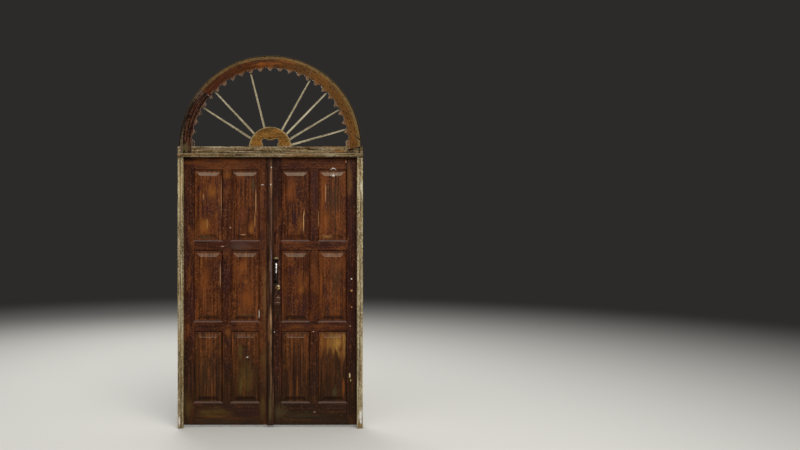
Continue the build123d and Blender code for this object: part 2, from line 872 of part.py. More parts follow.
def bolt_guides():
    """Plates with two loops each, which hold the rods of both surface bolts to the leaf."""
    half_loop = rod_radius + rod_play + loop_wall
    with BuildPart() as piece:
        for end, way in ((head_rod_end, 1), (foot_rod_end, -1)):
            near = end - way * guide_from_rod_end
            far = near - way * guide_height
            with BuildSketch(facing(leaf_back + guide_thickness)):
                with Locations((rod_x, (near + far) / 2)):
                    RectangleRounded(guide_width, guide_height, guide_corner)
            extrude(amount=guide_thickness)
            for edge, inwards in ((near, -way), (far, way)):
                with BuildSketch(Plane.XY.offset(edge + inwards * loop_from_guide_end)):
                    span(rod_x - half_loop, rod_x + half_loop, leaf_back, rod_y + half_loop)
                    with Locations((rod_x, rod_y)):
                        Circle(rod_radius + rod_play, mode=Mode.SUBTRACT)
                extrude(amount=inwards * loop_height)
    return piece


# Every piece is built and written to its own file
os.makedirs("parts", exist_ok=True)

for side, name in ((LEFT, "left"), (RIGHT, "right")):
    save(jamb(side), f"{name}_jamb")
    save(hinge_stile(side), f"{name}_hinge_stile")
    save(meeting_stile(side), f"{name}_meeting_stile")
    for member, foot, head in rail_spans():
        save(rail(side, foot, head), f"{name}_{member}")
    for row in range(panel_rows):
        save(muntin(side, row), f"{name}_muntin_{row + 1}")
    for number, centre in enumerate(opening_centres(side), start=1):
        save(raised_panel(centre), f"{name}_panel_{number}")
    save(leaf_hinges(side), f"{name}_hinge_plates")

save(frame_hinges(), "frame_hinge_plates")
save(transom(), "transom")
save(arch_half(90, 180), "arch_left")
save(arch_half(0, 90), "arch_right")
save(left_fretwork(), "fretwork_left")
save(crown_fretwork(), "fretwork_crown")
save(right_fretwork(), "fretwork_right")
save(sunburst_hub(), "sunburst_hub")
for number, angle in enumerate(stick_angles, start=1):
    save(stick(angle), f"sunburst_stick_{number}")

save(cover_strip(), "cover_strip")
save(lock_keeper(), "lock_keeper")
save(bolt_guides(), "bolt_guides")
save(surface_bolt(head_rod_end, 1), "head_bolt")
save(surface_bolt(foot_rod_end, -1), "foot_bolt")

save(handle_plate(), "handle_plate")
save(handle_grip(), "handle_grip")
save(lock_cylinder(), "lock_cylinder")
save(cylinder_plug(), "cylinder_plug")
save(lock_case(), "lock_case")
save(deadbolt(), "deadbolt")
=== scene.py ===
"""An old arched double door with its frame and fanlight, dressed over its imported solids."""

import json
import logging
import random
from dataclasses import dataclass
from enum import Enum
from functools import cache
from math import cos, pi, radians, sin

import bpy
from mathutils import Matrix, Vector


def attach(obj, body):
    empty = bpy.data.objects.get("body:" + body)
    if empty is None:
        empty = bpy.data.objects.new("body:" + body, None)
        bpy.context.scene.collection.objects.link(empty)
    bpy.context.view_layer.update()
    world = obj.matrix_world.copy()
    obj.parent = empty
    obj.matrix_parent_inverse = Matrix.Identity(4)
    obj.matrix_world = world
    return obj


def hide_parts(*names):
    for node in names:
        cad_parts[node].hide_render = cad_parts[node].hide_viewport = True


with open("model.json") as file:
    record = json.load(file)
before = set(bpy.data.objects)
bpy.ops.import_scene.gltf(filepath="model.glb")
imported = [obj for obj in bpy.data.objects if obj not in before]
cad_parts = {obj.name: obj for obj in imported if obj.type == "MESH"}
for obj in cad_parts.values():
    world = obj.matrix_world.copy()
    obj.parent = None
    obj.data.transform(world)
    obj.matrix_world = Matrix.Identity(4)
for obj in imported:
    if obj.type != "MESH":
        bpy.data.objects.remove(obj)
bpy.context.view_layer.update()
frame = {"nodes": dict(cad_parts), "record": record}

LOG = logging.getLogger("door")
NODES = frame["nodes"]
BODY_OF = {node: body for body, nodes in frame["record"]["behaviour"]["bodies"].items() for node in nodes}
SLOT_OF = {part["node"]: part["material_slot"] for part in frame["record"]["subparts"]}

Material = bpy.types.Material
Piece = bpy.types.Object
Tree = bpy.types.NodeTree
Socket = bpy.types.NodeSocket
Outputs = bpy.types.bpy_prop_collection
Readings = dict[str, Socket]
Colour = tuple[float, float, float, float]
Point = tuple[float, float, float]
Spot = tuple[float, float]

# Ways that a board's fibres run
UPRIGHT: Point = (0.0, 0.0, 1.0)
LEVEL: Point = (1.0, 0.0, 0.0)

# Heights of the fanlight's springing and of the point where its sticks meet, in metres
SPRINGING = 2.309
STICK_FOCUS = 2.275
# Depths of faces, in metres: the door looks out towards -y
DRIP_FRONT = -0.065
FRAME_FRONT = -0.045
FRET_BACK = -0.021
STRIP_FRONT = -0.016
PLATE_FRONT = -0.004
GUIDE_BACK = 0.0475
KEEPER_BACK = 0.071
CASE_BACK = 0.073

# Edges that turn less than this many degrees are shaded smooth: on flat boards, curved ones and metal
FLAT_SMOOTH = 12.0
CURVED_SMOOTH = 35.0
POLISHED_SMOOTH = 60.0
# Edges of a copied solid that turn less than this are melted away, and edges that turn more are arrises
FLAT_ANGLE = 0.5
ARRIS_ANGLE = 32.0
# Vertices of a copied solid closer than this are one, in metres
MERGE = 0.00001
# How far apart two boards' grain may start in the same pattern, in metres, and how far their tints differ
GRAIN_SPREAD = 9
TINT_SPREAD = 0.6

# Where a wood's four tones lie on its grain reading
TONE_STOPS = (0.38, 0.47, 0.54, 0.64)
# Radius at which an angle round the fanlight becomes a length along the swept fibres, in metres
SWEEP_RADIUS = 0.69
# How far the painted shade reaches out of corners, in metres
CORNER_SHADE_REACH = 0.022
# Size of the pits in old metal, drawn as coarse as they need to be to show, in metres
PIT = 1 / 900
# How deep the pits are, in metres
PIT_DEPTH = 0.0002
# Samples of each reading that looks round itself for corners and edges
SAMPLES = 6


class Grain(Enum):
    """How a wood's fibres run."""

    STRAIGHT = "straight along each board"
    SWEPT = "swept round the fanlight"


class Side(Enum):
    """Which leaf a board belongs to, as its solid's name says."""

    LEFT = "left"
    RIGHT = "right"


class Facing(Enum):
    """Which way a face looks, as the sign of its depth."""

    OUT = -1
    IN = 1


# Small tools


def linear(code: str) -> Colour:
    """Turns an sRGB hex colour into the linear colour that a shader takes.

    Args:
        code: Six hex digits after a hash.

    Returns:
        The linear red, green and blue, and an alpha of 1.
    """
    parts = [int(code[i : i + 2], 16) / 255 for i in (1, 3, 5)]
    red, green, blue = (c / 12.92 if c <= 0.04045 else ((c + 0.055) / 1.055) ** 2.4 for c in parts)
    return red, green, blue, 1.0


def add(tree: Tree, kind: str, inputs: dict | None = None, **settings: object) -> Outputs:
    """Adds one shader node with its settings, its values and its links.

    Args:
        tree: The material's node tree.
        kind: The node's type.
        inputs: Values and sockets by the name or the number of the input.
        settings: Attributes of the node; stops holds the places and colours of a ramp.

    Returns:
        The new node's outputs.
    """
    node = tree.nodes.new(kind)
    stops = settings.pop("stops", ())
    for name, value in settings.items():
        setattr(node, name, value)
    for key, value in (inputs or {}).items():
        if isinstance(value, Socket):
            tree.links.new(value, node.inputs[key])
        else:
            node.inputs[key].default_value = value
    if stops:
        elements = node.color_ramp.elements
        while len(elements) < len(stops):
            elements.new(1.0)
        for element, (place, code) in zip(elements, stops):
            element.position = place
            element.color = linear(code)
    return node.outputs


def blank(name: str) -> tuple[Material, Tree, bpy.types.Node]:
    """Starts a material.

    Args:
        name: Its name.

    Returns:
        The material, its node tree and its surface shader.
    """
    made = bpy.data.materials.new(name)
    made.use_nodes = True
    return made, made.node_tree, made.node_tree.nodes["Principled BSDF"]


def new_object(name: str, data: bpy.types.ID) -> Piece:
    """Puts an object of this data into the scene.

    Args:
        name: Its name.
        data: Its mesh, lamp or camera.

    Returns:
        The object.
    """
    made = bpy.data.objects.new(name, data)
    bpy.context.scene.collection.objects.link(made)
    return made


def select_only(*pieces: Piece) -> None:
    """Deselects everything, selects these pieces and makes the first of them active.

    Args:
        pieces: The pieces; with none, nothing stays selected or active.
    """
    for other in bpy.context.selected_objects:
        other.select_set(False)
    for piece in pieces:
        piece.select_set(True)
    bpy.context.view_layer.objects.active = pieces[0] if pieces else None


def apply_modifier(piece: Piece, kind: str, **settings: object) -> None:
    """Adds a modifier to a piece and applies it.

    Args:
        piece: The piece.
        kind: The modifier's type.
        settings: Attributes of the modifier.
    """
    select_only(piece)
    modifier = piece.modifiers.new(kind.lower(), kind)
    for name, value in settings.items():
        setattr(modifier, name, value)
    bpy.ops.object.modifier_apply(modifier=modifier.name)


def carve(piece: Piece, blade: Piece) -> None:
    """Takes a blade out of a piece and throws the blade away."""
    apply_modifier(piece, "BOOLEAN", object=blade, operation="DIFFERENCE", solver="EXACT")
    bpy.data.objects.remove(blade)


def settle(piece: Piece, name: str, smooth: float = CURVED_SMOOTH) -> Piece:
    """Puts a new piece's place into its mesh, names it and smooths its gentle edges.

    Args:
        piece: The piece, placed where it belongs.
        name: Its name.
        smooth: Edges turning less than this many degrees are shaded smooth.

    Returns:
        The same piece.
    """
    select_only(piece)
    bpy.ops.object.transform_apply(location=True, rotation=True, scale=True)
    bpy.ops.object.shade_smooth_by_angle(angle=radians(smooth))
    piece.name = piece.data.name = name
    return piece


def gather(name: str, model: Piece, stands: list[tuple[Point, Point, Point]]) -> Piece:
    """Copies a model to each of its places and joins the copies; the model goes.

    Args:
        name: The new piece's name.
        model: What is copied.
        stands: Place, turn and scale of each copy.

    Returns:
        The copies as one settled piece.
    """
    copies = []
    for place, turn, scale in stands:
        copy = new_object(name, model.data.copy())
        copy.location, copy.rotation_euler, copy.scale = place, turn, scale
        copies.append(copy)
    bpy.data.objects.remove(model)
    select_only(*copies)
    bpy.ops.object.join()
    return settle(copies[0], name)


def on_ray(angle: float, reach: float, centre: float) -> Spot:
    """Finds how far across and up a ray ends that leaves the middle line at this height and angle."""
    turn = radians(angle)
    return reach * cos(turn), centre + reach * sin(turn)


# Finishes


@dataclass(frozen=True)
class Layer:
    """A colour that covers the surface more and more as a reading goes from start to full."""

    reading: str
    start: float
    full: float
    share: float
    colour: str

    def cover(self, tree: Tree, value: Socket, below: Socket) -> Socket:
        """Lays this colour over the colours below it.

        Args:
            tree: The material's node tree.
            value: The reading.
            below: The colours below.

        Returns:
            The colours with this one on them.
        """
        reach = {"Value": value, "From Min": self.start, "From Max": self.full, "To Max": self.share}
        share = add(tree, "ShaderNodeMapRange", reach, interpolation_type="SMOOTHSTEP")["Result"]
        mix = {0: share, 6: below, 7: linear(self.colour)}
        return add(tree, "ShaderNodeMix", mix, data_type="RGBA")[2]


@dataclass(frozen=True)
class Mark:
    """An oval place where hands, sun or rain have changed the surface, or where shade or a highlight is
    painted.

    x and z are its middle, across and up its half width and half height, all in millimetres. share is
    how many percent its colour covers at the middle, and fray how ragged the grain makes its edge.
    """

    x: float
    z: float
    across: float
    up: float
    share: float
    colour: str
    fray: float = 1.5

    def distance(self, tree: Tree, place: Socket) -> Socket:
        """Measures how far a point is from the mark's middle, where 1 is its edge.

        Args:
            tree: The material's node tree.
            place: The point in metres, its depth 0 wherever the mark can lie.

        Returns:
            The distance.
        """
        middle = (-self.x / self.across, 0.0, -self.z / self.up)
        oval = {"Vector": place, "Location": middle, "Scale": (1000 / self.across, 1.0, 1000 / self.up)}
        centred = add(tree, "ShaderNodeMapping", oval)[0]
        return add(tree, "ShaderNodeVectorMath", {0: centred}, operation="LENGTH")["Value"]

    def layer(self, start: float, full: float) -> Layer:
        """Gives the layer that covers the mark as its distance goes from start to full."""
        return Layer("distance", start, full, self.share / 100, self.colour)


def marks_of(*rows: tuple) -> tuple[Mark, ...]:
    """Makes a mark of each row of a mark's fields."""
    return tuple(Mark(*row) for row in rows)


@dataclass(frozen=True)
class Wood:
    """A wood, and what weather, hands and old varnish have made of its face.

    tones runs from the dark late wood to the pale early wood. fibre and streak are widths and run is a
    length along the grain, in metres; real fibres are finer, and these are as coarse as they need to be
    to show. dust_and_sheen is the pale colour on what faces up: a dusting, with a painted sheen of the
    light from above. grime_and_shade is the dark colour of dirt in cracks and fine streaks, and of the
    painted shade in corners and on faces that look down. dust_sheen_and_shade, cracked and corner_shade
    are how far they cover. grained is how far fine dirt and pale streaks lie over all the rest. relief is
    how deep the grain stands and worn_edge how wide an edge is rubbed, in metres.
    layers and marks are laid over the tones in their order.
    """

    name: str
    tones: tuple[str, str, str, str]
    dust_and_sheen: str
    grime_and_shade: str
    grain: Grain = Grain.STRAIGHT
    fibre: float = 0.0016
    streak: float = 0.010
    run: float = 0.30
    dust_sheen_and_shade: float = 0.5
    corner_shade: float = 0.6
    roughness: float = 0.5
    gloss: float = 0.06
    relief: float = 0.0006
    cracked: float = 0.0
    grained: float = 0.0
    worn_edge: float = 0.005
    layers: tuple[Layer, ...] = ()
    marks: tuple[Mark, ...] = ()

    def material(self) -> Material:
        """Builds the material.

        Returns:
            The material, with its colour, roughness and relief worked from the same readings.
        """
        made, tree, surface = blank(self.name)
        values = self.readings(tree)
        stops = tuple(zip(TONE_STOPS, self.tones))
        colour = add(tree, "ShaderNodeValToRGB", {"Fac": values["tone"]}, stops=stops)["Color"]
        # Cracks and fine dirt, and painted light: painted shade in corners, where the occlusion reading is
        # low, and on faces that look down, and on faces that look up a pale dusting with a painted sheen
        weather = (
            Layer("crack", 0.0, 1.0, self.cracked, self.grime_and_shade),
            # Painted shade in corners and crevices, where the occlusion reading is low
            Layer("open", 0.85, 0.3, self.corner_shade, self.grime_and_shade),
            Layer("streaks", 0.46, 0.33, self.grained, self.grime_and_shade),
            Layer("mottle", 0.45, 0.31, self.grained, self.grime_and_shade),
            Layer("streaks", 0.55, 0.70, self.grained, self.tones[-1]),
            # A pale dusting with a painted sheen of the light from above, on faces that look up
            Layer("dusted_and_sheened", 0.08, 0.34, self.dust_sheen_and_shade, self.dust_and_sheen),
            # Painted shade on faces that look down, as under rails and ledges
            Layer("facing_up", -0.14, -0.30, self.dust_sheen_and_shade, self.grime_and_shade),
        )
        covers = [(values[layer.reading], layer) for layer in self.layers]
        for mark in self.marks:
            frayed = {0: values["fray"], 1: mark.fray, 2: mark.distance(tree, values["faced"])}
            away = add(tree, "ShaderNodeMath", frayed, operation="MULTIPLY_ADD")[0]
            covers.append((away, mark.layer(start=1.15, full=0.95 - 0.7 * min(mark.fray, 1.0))))
        covers += [(values[layer.reading], layer) for layer in weather if layer.share]
        for value, layer in covers:
            colour = layer.cover(tree, value, colour)
        tree.links.new(colour, surface.inputs["Base Color"])
        surface.inputs["Specular IOR Level"].default_value = self.gloss
        tree.links.new(values["rough"], surface.inputs["Roughness"])
        relief = {"Height": values["rise"], "Distance": self.relief * 2, "Strength": 0.7}
        tree.links.new(add(tree, "ShaderNodeBump", relief)["Normal"], surface.inputs["Normal"])
        return made

    def readings(self, tree: Tree) -> Readings:
        """Reads the grain, the weather and the lie of the face at each point.

        Args:
            tree: The material's node tree.

        Returns:
            A socket for each reading, by name.
        """
        values = self.lie(tree)
        cells = {
            "fibres": (self.fibre, self.run / 4, 4.0),
            "streaks": (self.streak, self.run, 3.0),
            "clouds": (0.060, 0.14, 3.0),
            "drift": (0.110, 0.26, 2.0),
            "mottle": (0.009, 0.016, 3.0),
            "bare": (0.030, 0.09, 5.0),
            "splits": (0.005, 0.18, 2.0),
        }
        grain_at = self.grain_place(tree, values)
        for name, (width, length, detail) in cells.items():
            cell = {"Vector": grain_at, "Scale": (1 / width, 1 / (3 * width), 1 / length)}
            drawn = add(tree, "ShaderNodeMapping", cell)[0]
            noise = {"Vector": drawn, "Scale": 1.0, "Detail": detail, "Distortion": 0.35}
            values[name] = add(tree, "ShaderNodeTexNoise", noise)["Fac"]
        cut = {"Value": values["splits"], "From Min": 0.395, "From Max": 0.36}
        values["crack"] = add(tree, "ShaderNodeMapRange", cut, interpolation_type="SMOOTHSTEP")["Result"]
        sums = {
            "tone": (
                -0.05, ("fibres", 0.3), ("streaks", 0.4), ("clouds", 0.2), ("mottle", 0.2), ("tint", 0.07)
            ),
            "worn": (0.0, ("bare", 0.7), ("streaks", 0.3)),
            # Height mottled by noise: the layers on it make the wood darker and duller towards the bottom
            "mottled_height": (-0.92, ("height", 1.0), ("clouds", 0.5), ("streaks", 0.6), ("mottle", 0.6)),
            # How far a face looks up: the layers on it paint shade on faces that look down, and lay a pale
            # dusting with a painted sheen on faces that look up
            "facing_up": (-0.194, ("slope", 1.0), ("clouds", 0.1), ("streaks", 0.1), ("height", 0.07)),
            "dusted_and_sheened": (-0.079, ("facing_up", 1.0), ("height", 0.038)),
            "shadow_gap_rim": (-0.02, ("radius", 1.0), ("inward", -0.02)),
            "fray": (-2.35, ("bare", 1.3), ("streaks", 2.0), ("fibres", 0.8), ("mottle", 0.6)),
            "rim": (-0.02, ("radius", 1.0), ("streaks", 0.04)),
            "rough": (self.roughness - 0.2, ("streaks", 0.2), ("mottle", 0.2), ("slope", 0.3)),
            "rise": (0.0, ("fibres", 0.5), ("streaks", 0.6), ("crack", -1.2 * self.cracked)),
        }
        for name, (start, *terms) in sums.items():
            values[name] = start
            for term, weight in terms:
                step = {0: values[term], 1: weight, 2: values[name]}
                values[name] = add(tree, "ShaderNodeMath", step, operation="MULTIPLY_ADD")[0]
        return values

    def lie(self, tree: Tree) -> Readings:
        """Reads where a point lies on the door, which way its face looks, and its corners and edges.

        Args:
            tree: The material's node tree.

        Returns:
            A socket for each reading; faced is the place, far away on faces that don't look out.
        """
        place = add(tree, "ShaderNodeTexCoord")["Object"]
        sides = add(tree, "ShaderNodeSeparateXYZ", {"Vector": place})
        values = {"side": sides["X"], "depth": sides["Y"], "height": sides["Z"]}
        values["sprung"] = add(tree, "ShaderNodeMath", {0: sides["Z"], 1: -SPRINGING})[0]
        ray = add(tree, "ShaderNodeCombineXYZ", {"X": sides["X"], "Z": values["sprung"]})[0]
        values["radius"] = add(tree, "ShaderNodeVectorMath", {0: ray}, operation="LENGTH")["Value"]
        values["tint"] = add(tree, "ShaderNodeAttribute", attribute_name="tint")["Fac"]
        # Ambient occlusion, low in corners and crevices: the layer on it paints shade there
        corner_shade = add(tree, "ShaderNodeAmbientOcclusion", {"Distance": CORNER_SHADE_REACH}, samples=SAMPLES)
        values["open"] = corner_shade["AO"]
        normal = add(tree, "ShaderNodeNewGeometry")["True Normal"]
        rounded = add(tree, "ShaderNodeBevel", {"Radius": self.worn_edge}, samples=SAMPLES)[0]
        bent = add(tree, "ShaderNodeVectorMath", {0: rounded, 1: normal}, operation="DOT_PRODUCT")
        values["edge"] = bent["Value"]
        own = {"vector_type": "NORMAL", "convert_from": "WORLD", "convert_to": "OBJECT"}
        turned = add(tree, "ShaderNodeVectorTransform", {"Vector": normal}, **own)[0]
        facing = add(tree, "ShaderNodeSeparateXYZ", {"Vector": turned})
        values |= {"slope": facing["Z"], "inward": facing["Y"]}
        averted = {"Value": facing["Y"], "From Min": -0.3, "From Max": 0.3, "To Max": 9.0}
        away = add(tree, "ShaderNodeMapRange", averted)["Result"]
        faced = {"X": sides["X"], "Y": away, "Z": sides["Z"]}
        values["faced"] = add(tree, "ShaderNodeCombineXYZ", faced)["Vector"]
        return values

    def grain_place(self, tree: Tree, values: Readings) -> Socket:
        """Finds where a point lies across, through and along the fibres, in metres.

        Args:
            tree: The material's node tree.
            values: The readings of the face's lie.

        Returns:
            The board's own grain attribute, or for swept grain the radius, depth and arc length.
        """
        if self.grain is Grain.STRAIGHT:
            return add(tree, "ShaderNodeAttribute", attribute_name="grain")["Vector"]
        both = {0: values["side"], 1: values["sprung"]}
        turn = add(tree, "ShaderNodeMath", both, operation="ARCTAN2")[0]
        arc = add(tree, "ShaderNodeMath", {0: turn, 1: SWEEP_RADIUS}, operation="MULTIPLY")[0]
        swept = {"X": values["radius"], "Y": values["depth"], "Z": arc}
        return add(tree, "ShaderNodeCombineXYZ", swept)[0]


@dataclass(frozen=True)
class Metal:
    """A metal with its patina: bright where it is rubbed, dull and stained elsewhere.

    grain is the size of its stains in metres. uneven is how much rougher the stains are than the rubbed
    places, and pitted how strongly its pits show.
    """

    name: str
    base: str
    patina: str
    rubbed: str
    metallic: float = 1.0
    roughness: float = 0.4
    grain: float = 0.012
    uneven: float = 0.28
    pitted: float = 0.35
    gloss: float = 0.5
    marks: tuple[Mark, ...] = ()

    def material(self) -> Material:
        """Builds the material.

        Returns:
            The material, stained in clouds, speckled with fine pits and rubbed bright at its marks.
        """
        made, tree, surface = blank(self.name)
        surface.inputs["Metallic"].default_value = self.metallic
        surface.inputs["Specular IOR Level"].default_value = self.gloss
        place = add(tree, "ShaderNodeTexCoord")["Object"]
        cloud = add(tree, "ShaderNodeTexNoise", {"Vector": place, "Scale": 1 / self.grain, "Detail": 5.0})
        pits = add(tree, "ShaderNodeTexNoise", {"Vector": place, "Scale": 1 / PIT, "Detail": 2.0})
        stops = ((0.36, self.patina), (0.5, self.base), (0.66, self.rubbed))
        colour = add(tree, "ShaderNodeValToRGB", {"Fac": cloud["Fac"]}, stops=stops)["Color"]
        flat = {0: place, 1: (1.0, 0.0, 1.0)}
        through = add(tree, "ShaderNodeVectorMath", flat, operation="MULTIPLY")[0]
        for mark in self.marks:
            colour = mark.layer(start=1.1, full=0.8).cover(tree, mark.distance(tree, through), colour)
        tree.links.new(colour, surface.inputs["Base Color"])
        dull, bright = self.roughness + self.uneven * 0.7, self.roughness - self.uneven * 0.3
        places = {"Value": cloud["Fac"], "From Min": 0.3, "From Max": 0.7, "To Min": dull, "To Max": bright}
        tree.links.new(add(tree, "ShaderNodeMapRange", places)["Result"], surface.inputs["Roughness"])
        relief = {"Height": pits["Fac"], "Distance": PIT_DEPTH, "Strength": self.pitted}
        tree.links.new(add(tree, "ShaderNodeBump", relief)["Normal"], surface.inputs["Normal"])
        return made


# Colours that weather and hands have left in marks, and a near black for painted shadow in gaps and recesses
GOLD = "#7d4a1a"
ORANGE = "#80451a"
HONEY = "#ab7a45"
PALE = "#b98b60"
CHALK = "#d8cfc2"
WHITE = "#f2eee6"
OLIVE = "#57431d"
MOSS = "#4c4128"
PLUM = "#2f1719"
UMBER = "#3f2a1a"
PAINTED_SHADOW = "#170c07"

# Marks on the panels, from the top row down, each row from left to right
PANEL_MARKS = marks_of(
    (-489, 1940, 46, 60, 75, GOLD),
    (-552, 1903, 8, 40, 75, HONEY),
    (-578, 1925, 7, 40, 60, GOLD),
    (-540, 1770, 50, 60, 50, PLUM),
    (-550, 1655, 48, 60, 75, GOLD),
    (-521, 1675, 4, 38, 85, HONEY, 0.4),
    (-535, 1568, 70, 16, 60, MOSS),
    (-142, 2000, 12, 60, 55, MOSS),
    (-237, 1750, 40, 60, 40, "#6a3524"),
    (-150, 1640, 22, 60, 80, GOLD),
    (-128, 1700, 3, 60, 70, HONEY, 0.4),
    (-225, 1585, 28, 6, 70, PALE, 0.6),
    (-120, 1860, 4, 120, 55, PALE, 0.4),
    (-405, 1900, 4, 150, 55, PALE, 0.4),
    (115, 1880, 5, 150, 60, ORANGE, 0.5),
    (170, 1950, 45, 100, 50, ORANGE),
    (195, 1735, 48, 65, 70, PLUM),
    (275, 1690, 4, 88, 95, PALE, 0.25),
    (281, 1770, 3, 24, 90, HONEY, 0.25),
    (250, 1660, 30, 80, 55, GOLD),
    (437, 1930, 18, 130, 75, ORANGE, 0.7),
    (457, 1930, 3, 80, 75, PALE, 0.3),
    (521, 2073, 14, 4, 100, WHITE, 0.1),
    (521, 2079, 9, 5, 100, WHITE, 0.1),
    (521, 2085, 5, 5, 100, WHITE, 0.1),
    (500, 2078, 4, 6, 80, CHALK, 0.2),
    (545, 2082, 6, 4, 75, CHALK, 0.2),
    (530, 1880, 62, 190, 80, "#3c2716"),
    (450, 1700, 30, 90, 60, ORANGE),
    (470, 1572, 45, 16, 65, HONEY),
    (-545, 1210, 40, 120, 35, ORANGE),
    (-414, 1250, 4, 100, 60, PALE, 0.4),
    (-235, 1320, 50, 60, 60, ORANGE),
    (-207, 1200, 22, 30, 60, GOLD),
    (-185, 1050, 50, 120, 45, ORANGE),
    (-200, 922, 70, 14, 60, MOSS),
    (250, 1130, 26, 40, 60, GOLD),
    (190, 1280, 45, 60, 45, PLUM),
    (420, 1180, 12, 140, 55, ORANGE, 0.6),
    (540, 1220, 52, 170, 60, UMBER),
    (385, 965, 3, 22, 90, CHALK, 0.3),
    (-530, 420, 72, 200, 55, "#3a2615"),
    (-250, 630, 18, 80, 55, OLIVE),
    (-245, 330, 18, 80, 60, OLIVE),
    (-200, 400, 75, 140, 45, OLIVE),
    (-190, 575, 9, 4, 95, CHALK, 0.3),
    (440, 690, 45, 100, 75, "#7a481c"),
    (525, 700, 100, 90, 80, "#7f5626"),
    (575, 700, 55, 85, 90, "#936c34"),
    (600, 610, 22, 70, 60, "#7b5528"),
    (605, 325, 12, 80, 60, ORANGE, 0.6),
    (535, 295, 28, 45, 55, MOSS),
    (200, 480, 70, 190, 50, "#32170f"),
)
# Marks on the stiles, rails and muntins
FRAME_MARKS = marks_of(
    (-357, 2075, 30, 50, 60, GOLD, 1.4),
    (-640, 2180, 80, 20, 45, ORANGE),
    (-300, 2190, 70, 18, 45, ORANGE),
    (-350, 785, 26, 48, 50, GOLD, 1.4),
    (-470, 120, 130, 40, 55, OLIVE),
    (-480, 85, 120, 12, 30, GOLD),
    (-180, 110, 120, 50, 45, PLUM),
    (-690, 170, 50, 120, 50, OLIVE),
    (-60, 560, 24, 70, 55, OLIVE),
    (-60, 180, 24, 120, 50, OLIVE),
    (-230, 1490, 120, 30, 35, "#5c4a40"),
    (-695, 1500, 20, 400, 40, PLUM),
    (655, 2030, 22, 170, 60, "#6a4520"),
    (672, 1620, 40, 160, 45, PLUM),
    (365, 1880, 26, 110, 55, PLUM),
    (365, 1620, 24, 60, 45, PLUM),
    (398, 1720, 3, 70, 75, HONEY, 0.3),
    (70, 120, 70, 70, 60, MOSS),
    (260, 85, 220, 45, 45, "#3f3521"),
    (-380, 40, 340, 45, 60, "#312718"),
    (400, 40, 330, 45, 50, "#2a2015"),
    (52, 1830, 55, 280, 60, "#2b130a"),
    (672, 1100, 55, 700, 45, "#2c130b"),
    (-44, 1080, 18, 280, 80, "#6b4a2a"),
    (-44, 500, 18, 340, 55, "#55391f"),
    # Near-black lines beside the cover strip's right edge: painted shadow
    (24, 2000, 6, 230, 70, PAINTED_SHADOW, 0.5),
    (22, 1250, 6, 600, 80, PAINTED_SHADOW, 0.5),
    (22, 600, 5, 350, 70, PAINTED_SHADOW, 0.5),
    (60, 940, 30, 60, 60, "#2c2417"),
    (225, 825, 100, 20, 40, GOLD),
    (-242, 1989, 7, 7, 95, PALE, 0.2),
    (-329, 1645, 7, 6, 85, "#b98d7a", 0.3),
    (-282, 1632, 6, 6, 80, "#a57a66", 0.3),
    (-64, 1998, 12, 2.6, 85, CHALK, 0.2),
    (-93, 932, 5, 34, 95, CHALK, 0.25),
    (-395, 1490, 14, 4, 85, "#b07f70", 0.3),
    (-458, 720, 12, 4, 85, PALE, 0.3),
    (503, 2126, 6, 4, 90, CHALK, 0.2),
    (516, 2134, 7, 3.5, 95, WHITE, 0.2),
    (530, 2131, 6, 4, 90, CHALK, 0.2),
    (541, 2122, 3, 6, 80, CHALK, 0.2),
    (625, 2190, 5, 10, 85, PALE, 0.3),
    (670, 1222, 6, 6, 95, CHALK, 0.2),
    (670, 1125, 9, 8, 90, HONEY, 0.2),
    (672, 990, 5, 6, 85, HONEY, 0.2),
    (412, 1090, 5, 5, 80, PALE, 0.2),
    (355, 787, 6, 5, 85, "#b58a74", 0.2),
    (660, 832, 5, 5, 80, PALE, 0.2),
    (34, 783, 5, 5, 65, CHALK, 0.2),
    (655, 425, 5, 20, 90, "#d3c090", 0.3),
    (663, 385, 4, 10, 80, "#b9a05c", 0.3),
    (365, 124, 10, 5, 85, "#957b69", 0.5),
)
# Marks on the cover strip: a long pale band right of its middle, partly wear and partly a painted highlight,
# near-black painted shadow along both edges, and small chalk flecks
STRIP_MARKS = marks_of(
    (7, 2030, 8.5, 170, 75, "#8a6044", 0.9),
    (8, 1700, 5, 180, 60, "#685248", 0.9),
    (7, 1290, 5, 240, 85, "#62565a", 0.6),
    (5, 880, 8.5, 130, 80, "#a07c58", 0.9),
    (4, 700, 7, 120, 55, "#8a6a4a", 0.9),
    (24, 650, 7, 600, 75, PAINTED_SHADOW, 0.5),
    (6, 400, 6, 200, 55, "#7a5e40", 0.9),
    (2, 160, 13, 120, 50, "#6a5434", 0.9),
    (-22, 400, 3.5, 300, 50, PAINTED_SHADOW, 0.6),
    (-19, 1370, 4, 260, 70, PAINTED_SHADOW, 0.6),
    (-18, 1950, 3, 250, 35, "#3a1a0a", 0.6),
    (-10, 810, 11, 130, 60, "#6f4a2c"),
    (10, 2140, 4, 6, 95, CHALK, 0.2),
    (4, 2000, 4, 6, 90, CHALK, 0.2),
)
TRANSOM_MARKS = marks_of(
    (665, 2283, 50, 22, 85, "#2d190d", 0.8),
    (570, 2268, 45, 12, 55, "#8a5826"),
    (400, 2262, 90, 12, 45, "#6b4a22"),
    (-180, 2266, 90, 12, 45, "#5c3a2c"),
    (-480, 2275, 120, 16, 40, "#5f4426"),
    (80, 2285, 70, 10, 35, "#6e6c4a"),
)
